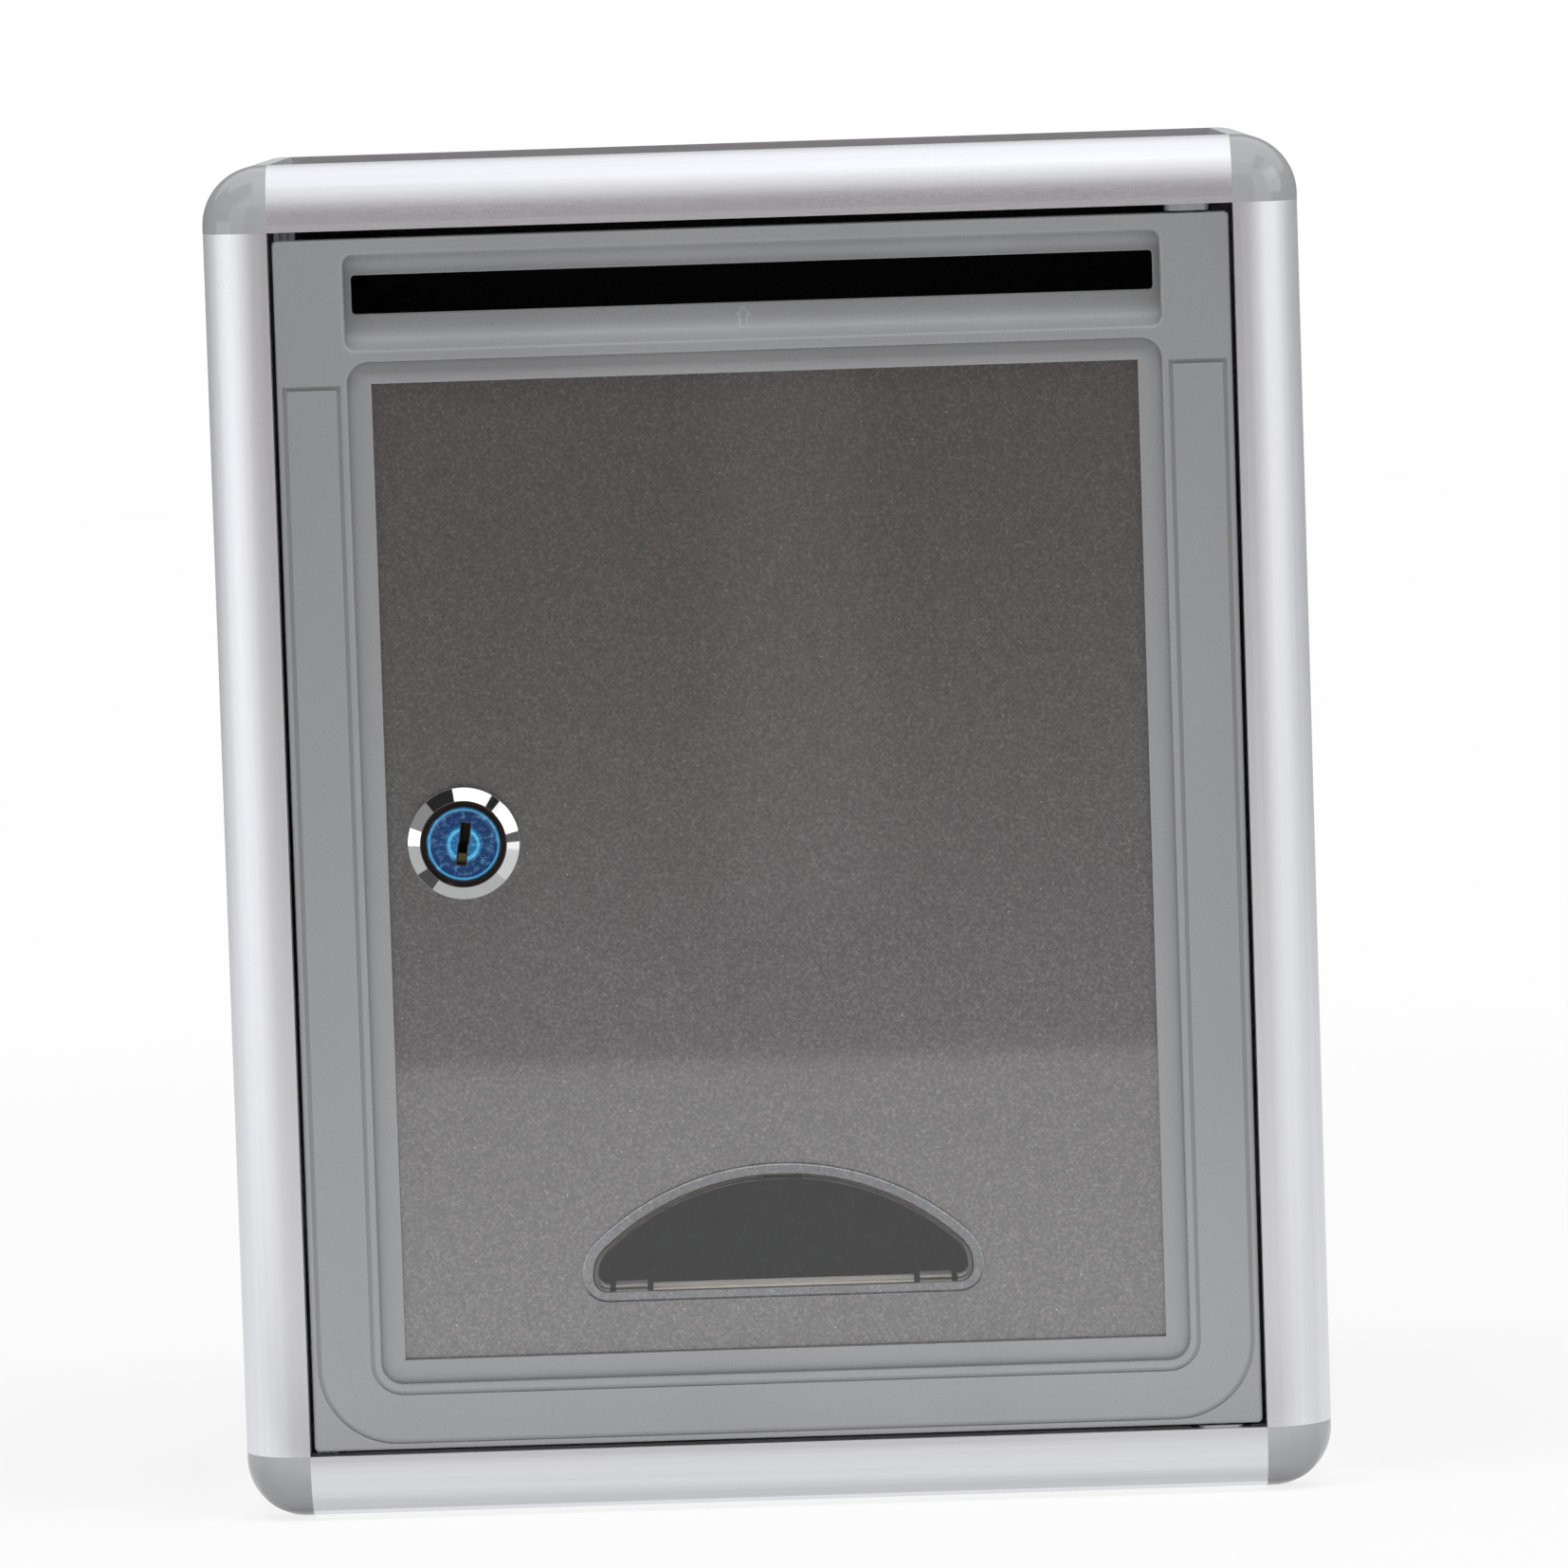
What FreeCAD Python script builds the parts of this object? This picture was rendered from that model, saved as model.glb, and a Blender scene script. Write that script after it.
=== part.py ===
import FreeCAD, Part
import math
import os

# Donation box of quarter-round extrusions with a moulded door, sizes in mm.
# The front faces -Y, the box stands on Z = 0 and is centred in X and Y.

# Case
WIDTH = 220.0
HEIGHT = 273.6
DEPTH = 120.0

# Quarter-round extrusion
FLANGE = 13.4
ROUND_R = 12.0
SLOT_LIP = 1.9
SLOT_DEEP = 4.8
WALL = 1.2
SHEET = 3.0
SHEET_FIT = 0.1
SHEET_END_GAP = 0.3

# Corner connector
PLUG_LONG = 12.0
PLUG_FIT = 0.1
PLUG_TAPER = 0.8

# Wall holes in the back sheet
WALL_HOLE_R = 3.0
WALL_HOLES_X = 120.0
WALL_HOLES_Z = 170.0

# Door in its opening
GAP_SIDE = 0.9
GAP_TOP = 1.6
GAP_BOTTOM = 0.9
DOOR_SET = 0.5
FACE = 2.4
SKIRT_DEEP = 9.0
SKIRT_WALL = 2.0
DOOR_EDGE_R = 0.8
DOOR_CORNER_R = 1.0

# Letter slot and the scooped pocket round it, measured from the door's top
POCKET_WIDE = 163.3
POCKET_DROP = 3.4
POCKET_HIGH = 18.9
POCKET_DEEP = 5.0
POCKET_CORNER_R = 2.0
POCKET_TOP_R = 3.4
POCKET_RIM_R = 0.9
SCOOP_LAND = 0.4
SCOOP_LIP = 1.1
POCKET_WALL = 1.5
SLOT_WIDE = 160.7
SLOT_DROP = 7.5
SLOT_HIGH = 7.8
SLOT_CORNER_R = 0.8
SLOT_BEVEL = 0.3

# Sheet window of the door frame and its sunk surround
VIEW_SIDE = 18.95
VIEW_TOP = 29.2
VIEW_BOTTOM = 18.0
SUNK_SIDE = 4.8
SUNK_TOP = 4.4
SUNK_DEEP = 1.6
SUNK_RISE = 0.7
SUNK_CORNER_R = 4.4
RIM_R = 0.6
INSERT = 2.0
INSERT_LAP = 3.5
INSERT_FIT = 0.2
KEEPER = 1.3
HOOK_WIDE = 8.0
HOOK_REACH = 1.4
HOOK_THICK = 1.5
HOOK_GAP = 0.1
SIDE_HOOKS = (0.2, 0.5, 0.8)
END_HOOKS = (0.25, 0.75)

# Grooves that outline the U-shaped strip
STRIP_MARGIN = 1.2
STRIP_TOP = 29.4
STRIP_CORNER_R = 16.0
GROOVE = 0.8
GROOVE_DEEP = 0.5
RIM_WIDE = 1.35

# Door hinge
HINGE_IN = 8.3
HINGE_BACK = 3.0
PIN_R = 1.5
PIN_FIT = 0.06
PIN_LONG = 8.0
PIN_END_GAP = 1.0
BOSS_WIDE = 9.0
BOSS_DEEP = 7.0
FLANGE_R = 4.5
FLANGE_GAP = 0.3
PIVOT_WIDE = 12.0
PIVOT_FIT = 0.1

# Door stops
STOP_IN = 1.3
STOP_WIDE = 4.2
STOP_REACH = 5.0
STOP_GAP = 0.3
STOP_GROOVE = 0.7
STOP_GROOVE_DEEP = 0.5
NOTCH_GAP = 0.6

# Lock
LOCK_IN = 34.3
LOCK_DROP = 122.0
BEZEL_R = 11.3
BEZEL_FRONT_R = 8.75
BEZEL_HIGH = 4.0
BEZEL_WALL = 2.0
BEZEL_EDGE_R = 0.3
BARREL_R = 9.3
BARREL_FLAT = 8.0
BARREL_FIT = 0.1
BARREL_LONG = 10.2
MOUTH_R = 8.5
MOUTH_DEEP = 2.5
PLUG_R = 6.0
RUN_FIT = 0.08
END_FIT = 0.1
HEAD_R = 7.6
HEAD_SUNK = 0.9
FILM_R = 7.4
FILM = 0.12
KEY_TILT = 7.0
KEY_WIDE = 1.7
KEY_HIGH = 8.4
KEY_STEP = 0.1
KEY_DEEP = 9.5
FILM_CUT = 0.25
WAFER_COUNT = 5
WAFER_PITCH = 1.5
WAFER = 0.6
WAFER_WIDE = 4.2
WAFER_HIGH = 10.0
WAFER_FIT = 0.1
WAFER_EYE_WIDE = 2.6
WAFER_EYE_HIGH = 6.6
WAFER_EYE_UP = 1.2
WASHER = 0.6
WASHER_R = 12.0
NUT = 3.2
NUT_FLATS = 24.0
STOP_DISC = 0.9
STOP_DISC_R = 7.6
STOP_LUG = 1.6
STOP_LUG_WIDE = 4.0
CAM = 1.8
CAM_LONG = 37.0
CAM_HUB_R = 8.5
CAM_TIP_R = 5.0
TAIL = 6.6
TAIL_FIT = 0.05
SCREW_R = 2.0
SCREW_HEAD_R = 3.8
SCREW_HEAD = 2.2
SCREW_LONG = 5.5
SCREW_SLOT = 0.9

# Half-moon window
MOON_WIDE = 80.8
MOON_HIGH = 27.2
MOON_ARC_R = 55.0
MOON_LOW_R = 5.0
MOON_SHOULDER_R = 9.0
MOON_UP = 10.3
MOON_FLANGE = 1.2
MOON_SEAT = 0.05
MOON_EDGE_R = 0.4
MOON_LAP = 2.0
MOON_FIT = 0.3
MOON_SKIRT = 0.8
MOON_SKIRT_DEEP = 6.0
CLIP_WIDE = 6.4
CLIP_OUT = 30.7
CLIP_SLIT = 1.2
CLIP_DEEP = 10.0
CLIP_GAP = 0.1
CLIP_REACH = 1.0

# Values that follow from the sizes above
SLOT_W = SHEET + 2 * SHEET_FIT
SLOT_END = FLANGE - SLOT_DEEP
CELL_FROM = SLOT_LIP + SLOT_W + WALL
CELL_TO = FLANGE - WALL
LEFT = -WIDTH / 2
FRONT = -DEPTH / 2
DOOR_LEFT = LEFT + FLANGE + GAP_SIDE
DOOR_RIGHT = -DOOR_LEFT
DOOR_LOW = FLANGE + GAP_BOTTOM
DOOR_TOP = HEIGHT - FLANGE - GAP_TOP
DOOR_FRONT = FRONT + DOOR_SET
INSERT_FRONT = DOOR_FRONT + FACE
INSERT_BACK = INSERT_FRONT + INSERT
HINGE_X = DOOR_RIGHT - HINGE_IN
HINGE_Y = DOOR_FRONT + HINGE_BACK
LOCK_X = DOOR_LEFT + LOCK_IN
LOCK_Z = DOOR_TOP - LOCK_DROP


def vec(x, y, z):
    return FreeCAD.Vector(x, y, z)


def slab(x0, x1, y0, y1, z0, z1):
    return Part.makeBox(x1 - x0, y1 - y0, z1 - z0, vec(x0, y0, z0))


def rod_y(x, z, r, y0, y1):
    return Part.makeCylinder(r, y1 - y0, vec(x, y0, z), vec(0, 1, 0))


def rod_z(x, y, r, z0, z1):
    return Part.makeCylinder(r, z1 - z0, vec(x, y, z0), vec(0, 0, 1))


def prism(points, move):
    wire = Part.makePolygon(points + points[:1])
    return Part.Face(wire).extrude(move)


def fuse(first, *rest):
    whole = first
    for piece in rest:
        whole = whole.fuse(piece)
    return whole.removeSplitter()


def along_y(edge):
    ends = [v.Point for v in edge.Vertexes]
    if len(ends) != 2:
        return False
    return abs(ends[0].x - ends[1].x) < 1e-6 and abs(ends[0].z - ends[1].z) < 1e-6


def rounded_slab(x0, x1, y0, y1, z0, z1, r, low_only=False):
    block = slab(x0, x1, y0, y1, z0, z1)
    edges = [e for e in block.Edges if along_y(e)]
    if low_only:
        edges = [e for e in edges if abs(e.Vertexes[0].Z - z0) < 1e-6]
    return block.makeFillet(r, edges)


def flipped(shape, normal, at=vec(0, 0, 0)):
    return shape.mirror(at, normal)


nodes = {}

# Twelve extrusions of one section: a quarter-round back, two sheet grooves and
# a square cell that takes the connectors' plugs.


def section(at):
    mid = ROUND_R * (1 - math.sqrt(0.5))
    far = SLOT_LIP + SLOT_W
    stations = [
        (0, ROUND_R),
        (0, FLANGE),
        (SLOT_LIP, FLANGE),
        (SLOT_LIP, SLOT_END),
        (far, SLOT_END),
        (far, FLANGE),
        (FLANGE, FLANGE),
        (FLANGE, far),
        (SLOT_END, far),
        (SLOT_END, SLOT_LIP),
        (FLANGE, SLOT_LIP),
        (FLANGE, 0),
        (ROUND_R, 0),
    ]
    edges = [Part.Arc(at(ROUND_R, 0), at(mid, mid), at(0, ROUND_R)).toShape()]
    for one, two in zip(stations, stations[1:]):
        edges.append(Part.makeLine(at(*one), at(*two)))
    cell = [(CELL_FROM, CELL_FROM), (CELL_TO, CELL_FROM), (CELL_TO, CELL_TO), (CELL_FROM, CELL_TO)]
    hole = Part.makePolygon([at(*p) for p in cell + cell[:1]])
    outer = Part.Face(Part.Wire(edges))
    return outer.cut(Part.Face(hole)).Faces[0]


X_MID = vec(1, 0, 0)
Y_MID = vec(0, 1, 0)
Z_MID = vec(0, 0, 1)
MIDDLE = vec(0, 0, HEIGHT / 2)

post = section(lambda a, b: vec(LEFT + a, FRONT + b, FLANGE)).extrude(vec(0, 0, HEIGHT - 2 * FLANGE))
nodes["post_front_left"] = post
nodes["post_front_right"] = flipped(post, X_MID)
nodes["post_rear_left"] = flipped(post, Y_MID)
nodes["post_rear_right"] = flipped(flipped(post, Y_MID), X_MID)

long_rail = section(lambda a, b: vec(LEFT + FLANGE, FRONT + b, a)).extrude(vec(WIDTH - 2 * FLANGE, 0, 0))
nodes["rail_front_bottom"] = long_rail
nodes["rail_front_top"] = flipped(long_rail, Z_MID, MIDDLE)
nodes["rail_rear_bottom"] = flipped(long_rail, Y_MID)
nodes["rail_rear_top"] = flipped(flipped(long_rail, Y_MID), Z_MID, MIDDLE)

side_rail = section(lambda a, b: vec(LEFT + a, FRONT + FLANGE, b)).extrude(vec(0, DEPTH - 2 * FLANGE, 0))
nodes["rail_left_bottom"] = side_rail
nodes["rail_left_top"] = flipped(side_rail, Z_MID, MIDDLE)
nodes["rail_right_bottom"] = flipped(side_rail, X_MID)
nodes["rail_right_top"] = flipped(flipped(side_rail, X_MID), Z_MID, MIDDLE)

# Eight corner connectors: a block rounded like the extrusions on its three
# outer edges, with a tapered plug into the cell of each extrusion it joins.


def corner_block():
    block = slab(LEFT, LEFT + FLANGE, FRONT, FRONT + FLANGE, 0, FLANGE)
    outer = []
    for edge in block.Edges:
        middle = edge.CenterOfMass
        at_left = abs(middle.x - LEFT) < 1e-6
        at_front = abs(middle.y - FRONT) < 1e-6
        at_foot = abs(middle.z) < 1e-6
        if at_left + at_front + at_foot == 2:
            outer.append(edge)
    return block.makeFillet(ROUND_R, outer)


def plug(turn):
    low = CELL_FROM + PLUG_FIT
    high = CELL_TO - PLUG_FIT
    root = FLANGE - WALL
    end = FLANGE + PLUG_LONG

    def at(along, u, v):
        place = [along, u, v]
        place = place[-turn:] + place[:-turn] if turn else place
        return vec(LEFT + place[0], FRONT + place[1], place[2])

    def square(along, inset):
        a = low + inset
        b = high - inset
        ring = [at(along, a, a), at(along, b, a), at(along, b, b), at(along, a, b)]
        return Part.makePolygon(ring + ring[:1])

    straight = Part.makeLoft([square(root, 0), square(end - PLUG_TAPER, 0)], True, True)
    nose = Part.makeLoft([square(end - PLUG_TAPER, 0), square(end, PLUG_TAPER)], True, True)
    return straight.fuse(nose)


corner = fuse(corner_block(), plug(0), plug(1), plug(2))
for height, high in (("bottom", False), ("top", True)):
    for depth, back in (("front", False), ("rear", True)):
        for side, right in (("left", False), ("right", True)):
            shape = corner
            if right:
                shape = flipped(shape, X_MID)
            if back:
                shape = flipped(shape, Y_MID)
            if high:
                shape = flipped(shape, Z_MID, MIDDLE)
            nodes["corner_" + depth + "_" + height + "_" + side] = shape

# Five sheets held in the grooves, notched at their corners for the connectors.


def notched(u0, u1, v0, v1):
    edge = SLOT_END + SHEET_END_GAP
    clear = FLANGE + SHEET_END_GAP
    return [
        (u0 + clear, v0 + edge),
        (u1 - clear, v0 + edge),
        (u1 - clear, v0 + clear),
        (u1 - edge, v0 + clear),
        (u1 - edge, v1 - clear),
        (u1 - clear, v1 - clear),
        (u1 - clear, v1 - edge),
        (u0 + clear, v1 - edge),
        (u0 + clear, v1 - clear),
        (u0 + edge, v1 - clear),
        (u0 + edge, v0 + clear),
        (u0 + clear, v0 + clear),
    ]


SHEET_IN = SLOT_LIP + SHEET_FIT
side_outline = notched(FRONT, -FRONT, 0, HEIGHT)
side_sheet = prism([vec(LEFT + SHEET_IN, u, v) for u, v in side_outline], vec(SHEET, 0, 0))
nodes["sheet_left"] = side_sheet
nodes["sheet_right"] = flipped(side_sheet, X_MID)

flat_outline = notched(LEFT, -LEFT, FRONT, -FRONT)
flat_sheet = prism([vec(u, v, SHEET_IN) for u, v in flat_outline], vec(0, 0, SHEET))
nodes["sheet_bottom"] = flat_sheet
nodes["sheet_top"] = flipped(flat_sheet, Z_MID, MIDDLE)

back_outline = notched(LEFT, -LEFT, 0, HEIGHT)
back_face = -FRONT - SHEET_IN
back_sheet = prism([vec(u, back_face, v) for u, v in back_outline], vec(0, -SHEET, 0))
for side in (-0.5, 0.5):
    for up in (-0.5, 0.5):
        hole_x = side * WALL_HOLES_X
        hole_z = HEIGHT / 2 + up * WALL_HOLES_Z
        back_sheet = back_sheet.cut(rod_y(hole_x, hole_z, WALL_HOLE_R, back_face - 2 * SHEET, -FRONT))
nodes["sheet_back"] = back_sheet

# Two hinge pivots: a block in the rail's groove, a round flange in the gap and
# a pin down into the door.


def pivot(rail_face, up, gap):
    y0 = FRONT + SLOT_LIP + PIVOT_FIT
    y1 = FRONT + SLOT_LIP + SLOT_W - PIVOT_FIT
    tip = rail_face + up * (SLOT_DEEP - PIVOT_FIT)
    disc_end = rail_face - up * (gap - FLANGE_GAP)
    pin_end = rail_face - up * (gap + PIN_LONG)
    block_x0 = HINGE_X - PIVOT_WIDE / 2
    block = slab(block_x0, block_x0 + PIVOT_WIDE, y0, y1, min(rail_face, tip), max(rail_face, tip))
    disc = rod_z(HINGE_X, HINGE_Y, FLANGE_R, min(rail_face, disc_end), max(rail_face, disc_end))
    shade = slab(HINGE_X - 2 * FLANGE_R, HINGE_X + 2 * FLANGE_R, FRONT - 2 * FLANGE_R, DOOR_FRONT, 0, HEIGHT)
    disc = disc.cut(shade)
    pin = rod_z(HINGE_X, HINGE_Y, PIN_R, min(rail_face, pin_end), max(rail_face, pin_end))
    return fuse(block, disc, pin)


nodes["hinge_pivot_top"] = pivot(HEIGHT - FLANGE, 1, GAP_TOP)
nodes["hinge_pivot_bottom"] = pivot(FLANGE, -1, GAP_BOTTOM)

# Two door stops: a block in the groove at the lock side with a ribbed tongue
# that stands behind the door's face.

STOP_X = LEFT + FLANGE + STOP_IN


def door_stop(rail_face, up):
    y0 = FRONT + SLOT_LIP + PIVOT_FIT
    y1 = FRONT + SLOT_LIP + SLOT_W - PIVOT_FIT
    x0 = STOP_X
    tongue_y = DOOR_FRONT + FACE + STOP_GAP
    tip = rail_face + up * (SLOT_DEEP - PIVOT_FIT)
    foot = rail_face - up * STOP_REACH
    block = slab(x0, x0 + STOP_WIDE, y0, y1, min(rail_face, tip), max(rail_face, tip))
    tongue = slab(x0, x0 + STOP_WIDE, tongue_y, y1, min(tip, foot), max(tip, foot))
    stop = fuse(block, tongue)
    for share in (1 / 3, 2 / 3):
        groove_x = x0 + share * STOP_WIDE - STOP_GROOVE / 2
        stop = stop.cut(
            slab(
                groove_x,
                groove_x + STOP_GROOVE,
                tongue_y,
                tongue_y + STOP_GROOVE_DEEP,
                min(rail_face, foot),
                max(rail_face, foot),
            )
        )
    return stop


nodes["door_stop_top"] = door_stop(HEIGHT - FLANGE, 1)
nodes["door_stop_bottom"] = door_stop(FLANGE, -1)

# Door frame: one moulding with a scooped letter pocket, a sunk surround for the
# sheet, grooves round a U-shaped strip, a skirt, hooks and hinge bosses behind.

view_x0 = DOOR_LEFT + VIEW_SIDE
view_x1 = DOOR_RIGHT - VIEW_SIDE
view_z0 = DOOR_LOW + VIEW_BOTTOM
view_z1 = DOOR_TOP - VIEW_TOP
sunk_x0 = view_x0 - SUNK_SIDE
sunk_x1 = view_x1 + SUNK_SIDE
sunk_z0 = view_z0 - SUNK_SIDE
sunk_z1 = view_z1 + SUNK_TOP
pocket_z1 = DOOR_TOP - POCKET_DROP
pocket_z0 = pocket_z1 - POCKET_HIGH
slot_z1 = DOOR_TOP - SLOT_DROP
slot_z0 = slot_z1 - SLOT_HIGH


def front_edges(shape, inside):
    chosen = []
    for edge in shape.Edges:
        points = [v.Point for v in edge.Vertexes] + [edge.CenterOfMass]
        if all(abs(p.y - DOOR_FRONT) < 1e-6 for p in points) and inside(edge.CenterOfMass):
            chosen.append(edge)
    return chosen


def door_block():
    block = rounded_slab(
        DOOR_LEFT, DOOR_RIGHT, DOOR_FRONT, DOOR_FRONT + SKIRT_DEEP, DOOR_LOW, DOOR_TOP, DOOR_CORNER_R
    )
    return block.makeFillet(DOOR_EDGE_R, front_edges(block, lambda p: True))


def pocket_tool():
    back = DOOR_FRONT + POCKET_DEEP
    ahead = DOOR_FRONT - FACE
    half = math.sqrt(0.5)
    top_mid = vec(LEFT, back - POCKET_TOP_R * (1 - half), pocket_z1 - POCKET_TOP_R * (1 - half))
    top_in = vec(LEFT, back - POCKET_TOP_R, pocket_z1)
    top_back = vec(LEFT, back, pocket_z1 - POCKET_TOP_R)
    scoop_z = slot_z0 - SCOOP_LAND
    fall = scoop_z - pocket_z0
    run = POCKET_DEEP - SCOOP_LIP
    scoop_r = (run * run + fall * fall) / (2 * run)
    swing = math.atan2(fall, scoop_r - run) / 2
    low_back = vec(LEFT, back, scoop_z)
    low_mid = vec(
        LEFT, back - scoop_r * (1 - math.cos(swing)), scoop_z - scoop_r * math.sin(swing)
    )
    low_in = vec(LEFT, DOOR_FRONT + SCOOP_LIP, pocket_z0)
    edges = [
        Part.makeLine(vec(LEFT, ahead, pocket_z1), top_in),
        Part.Arc(top_in, top_mid, top_back).toShape(),
        Part.makeLine(top_back, low_back),
        Part.Arc(low_back, low_mid, low_in).toShape(),
        Part.makeLine(low_in, vec(LEFT, ahead, pocket_z0)),
        Part.makeLine(vec(LEFT, ahead, pocket_z0), vec(LEFT, ahead, pocket_z1)),
    ]
    scoop = Part.Face(Part.Wire(edges)).extrude(vec(WIDTH, 0, 0))
    ends = rounded_slab(
        -POCKET_WIDE / 2, POCKET_WIDE / 2, ahead, back + FACE, pocket_z0, pocket_z1, POCKET_CORNER_R
    )
    return scoop.common(ends)


def slot_tool():
    back = DOOR_FRONT + POCKET_DEEP

    def slot(y0, grow):
        x = SLOT_WIDE / 2 + grow
        y1 = DOOR_FRONT + 2 * SKIRT_DEEP
        return rounded_slab(-x, x, y0, y1, slot_z0 - grow, slot_z1 + grow, SLOT_CORNER_R + grow)

    def outline(y, grow):
        ends = [f for f in slot(y, grow).Faces if abs(f.CenterOfMass.y - y) < 1e-6]
        return ends[0].OuterWire

    wide = outline(back - SLOT_BEVEL, 2 * SLOT_BEVEL)
    narrow = outline(back + SLOT_BEVEL, 0)
    return slot(back, 0).fuse(Part.makeLoft([wide, narrow], True, True))


def sunk_tool():
    floor = DOOR_FRONT + SUNK_DEEP
    crest = floor - SUNK_RISE
    well = rounded_slab(
        sunk_x0, sunk_x1, DOOR_FRONT - FACE, floor, sunk_z0, sunk_z1, SUNK_CORNER_R
    )

    def ring(y, x0, x1, z0, z1):
        corners = [vec(x0, y, z0), vec(x1, y, z0), vec(x1, y, z1), vec(x0, y, z1)]
        return Part.makePolygon(corners + corners[:1])

    low = ring(floor, sunk_x0, sunk_x1, sunk_z0, sunk_z1)
    high = ring(crest, view_x0, view_x1, view_z0, view_z1)
    return well.cut(Part.makeLoft([low, high], True, True))


def strip_region(inset):
    y0 = DOOR_FRONT - FACE
    y1 = DOOR_FRONT + GROOVE_DEEP
    edge = STRIP_MARGIN + inset
    away = RIM_WIDE + inset
    outer = rounded_slab(
        DOOR_LEFT + edge,
        DOOR_RIGHT - edge,
        y0,
        y1,
        DOOR_LOW + edge,
        DOOR_TOP - STRIP_TOP - inset,
        STRIP_CORNER_R - inset,
        True,
    )
    inner = rounded_slab(
        sunk_x0 - away, sunk_x1 + away, y0, y1, sunk_z0 - away, DOOR_TOP, SUNK_CORNER_R + away, True
    )
    return outer.cut(inner)


def groove_tool():
    return strip_region(0).cut(strip_region(GROOVE))


insert_x0 = view_x0 - INSERT_LAP
insert_x1 = view_x1 + INSERT_LAP
insert_z0 = view_z0 - INSERT_LAP
insert_z1 = view_z1 + INSERT_LAP


def hook(x, z, out_x, out_z):
    near = INSERT_BACK + HOOK_GAP
    half = HOOK_WIDE / 2
    side_x = half if out_z else 0
    side_z = half if out_x else 0
    base = vec(x - side_x, 0, z - side_z)
    reach = HOOK_REACH + INSERT_FIT

    def at(inward, y):
        return vec(base.x - out_x * inward, y, base.z - out_z * inward)

    outline = [
        at(-KEEPER, near),
        at(reach, near),
        at(0, near + HOOK_THICK),
        at(-KEEPER, near + HOOK_THICK),
    ]
    return prism(outline, vec(2 * side_x, 0, 2 * side_z))


def keeper_pieces():
    wall_y1 = INSERT_BACK + HOOK_GAP + HOOK_THICK
    fit = INSERT_FIT
    outer = slab(
        insert_x0 - fit - KEEPER,
        insert_x1 + fit + KEEPER,
        DOOR_FRONT + SUNK_DEEP,
        wall_y1,
        insert_z0 - fit - KEEPER,
        insert_z1 + fit + KEEPER,
    )
    inner = slab(
        insert_x0 - fit, insert_x1 + fit, INSERT_FRONT, wall_y1 + FACE, insert_z0 - fit, insert_z1 + fit
    )
    pieces = outer.cut(inner)
    hooks = []
    for share in SIDE_HOOKS:
        z = insert_z0 + share * (insert_z1 - insert_z0)
        hooks.append(hook(insert_x0 - fit, z, -1, 0))
        hooks.append(hook(insert_x1 + fit, z, 1, 0))
    for share in END_HOOKS:
        x = insert_x0 + share * (insert_x1 - insert_x0)
        hooks.append(hook(x, insert_z0 - fit, 0, -1))
        hooks.append(hook(x, insert_z1 + fit, 0, 1))
    return fuse(pieces, *hooks)


def boss(z0, z1):
    return slab(
        HINGE_X - BOSS_WIDE / 2, DOOR_RIGHT, DOOR_FRONT + DOOR_EDGE_R, DOOR_FRONT + BOSS_DEEP, z0, z1
    )


def stop_notch(z0, z1):
    x1 = STOP_X + STOP_WIDE + NOTCH_GAP
    return slab(LEFT, x1, DOOR_FRONT + FACE, DOOR_FRONT + 2 * SKIRT_DEEP, z0, z1)


def door_frame():
    front = door_block().cut(pocket_tool()).cut(sunk_tool())

    def on_rim(p):
        inside_x = DOOR_LEFT + SKIRT_WALL < p.x < DOOR_RIGHT - SKIRT_WALL
        return inside_x and DOOR_LOW + SKIRT_WALL < p.z < DOOR_TOP - SKIRT_WALL

    front = front.makeFillet(RIM_R, front_edges(front, lambda p: on_rim(p) and p.z < pocket_z0))
    front = front.makeFillet(POCKET_RIM_R, front_edges(front, lambda p: on_rim(p) and p.z > sunk_z1 + RIM_R))
    hollow = slab(
        DOOR_LEFT + SKIRT_WALL,
        DOOR_RIGHT - SKIRT_WALL,
        DOOR_FRONT + FACE,
        DOOR_FRONT + 2 * SKIRT_DEEP,
        DOOR_LOW + SKIRT_WALL,
        DOOR_TOP - SKIRT_WALL,
    )
    tray = slab(
        -POCKET_WIDE / 2 - POCKET_WALL,
        POCKET_WIDE / 2 + POCKET_WALL,
        DOOR_FRONT,
        DOOR_FRONT + POCKET_DEEP + POCKET_WALL,
        pocket_z0 - POCKET_WALL,
        DOOR_TOP,
    )
    boss_long = PIN_LONG + PIN_END_GAP + SKIRT_WALL
    bosses = [boss(DOOR_TOP - boss_long, DOOR_TOP), boss(DOOR_LOW, DOOR_LOW + boss_long)]
    hollow = hollow.cut(tray).cut(keeper_pieces()).cut(bosses[0]).cut(bosses[1])
    whole = front.cut(hollow)
    whole = whole.cut(slab(view_x0, view_x1, DOOR_FRONT, INSERT_FRONT + FACE, view_z0, view_z1))
    whole = whole.cut(slot_tool()).cut(groove_tool())
    notch_high = STOP_REACH + NOTCH_GAP
    whole = whole.cut(stop_notch(HEIGHT - FLANGE - notch_high, HEIGHT))
    whole = whole.cut(stop_notch(0, FLANGE + notch_high))
    bore_r = PIN_R + PIN_FIT
    bore_deep = PIN_LONG + PIN_END_GAP
    whole = whole.cut(rod_z(HINGE_X, HINGE_Y, bore_r, DOOR_TOP - bore_deep, HEIGHT))
    whole = whole.cut(rod_z(HINGE_X, HINGE_Y, bore_r, 0, DOOR_LOW + bore_deep))
    return whole


nodes["door_frame"] = door_frame()

# Half-moon outline of the window, inset evenly from its flange.

moon_x = (view_x0 + view_x1) / 2
moon_z = view_z0 + MOON_UP


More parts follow.
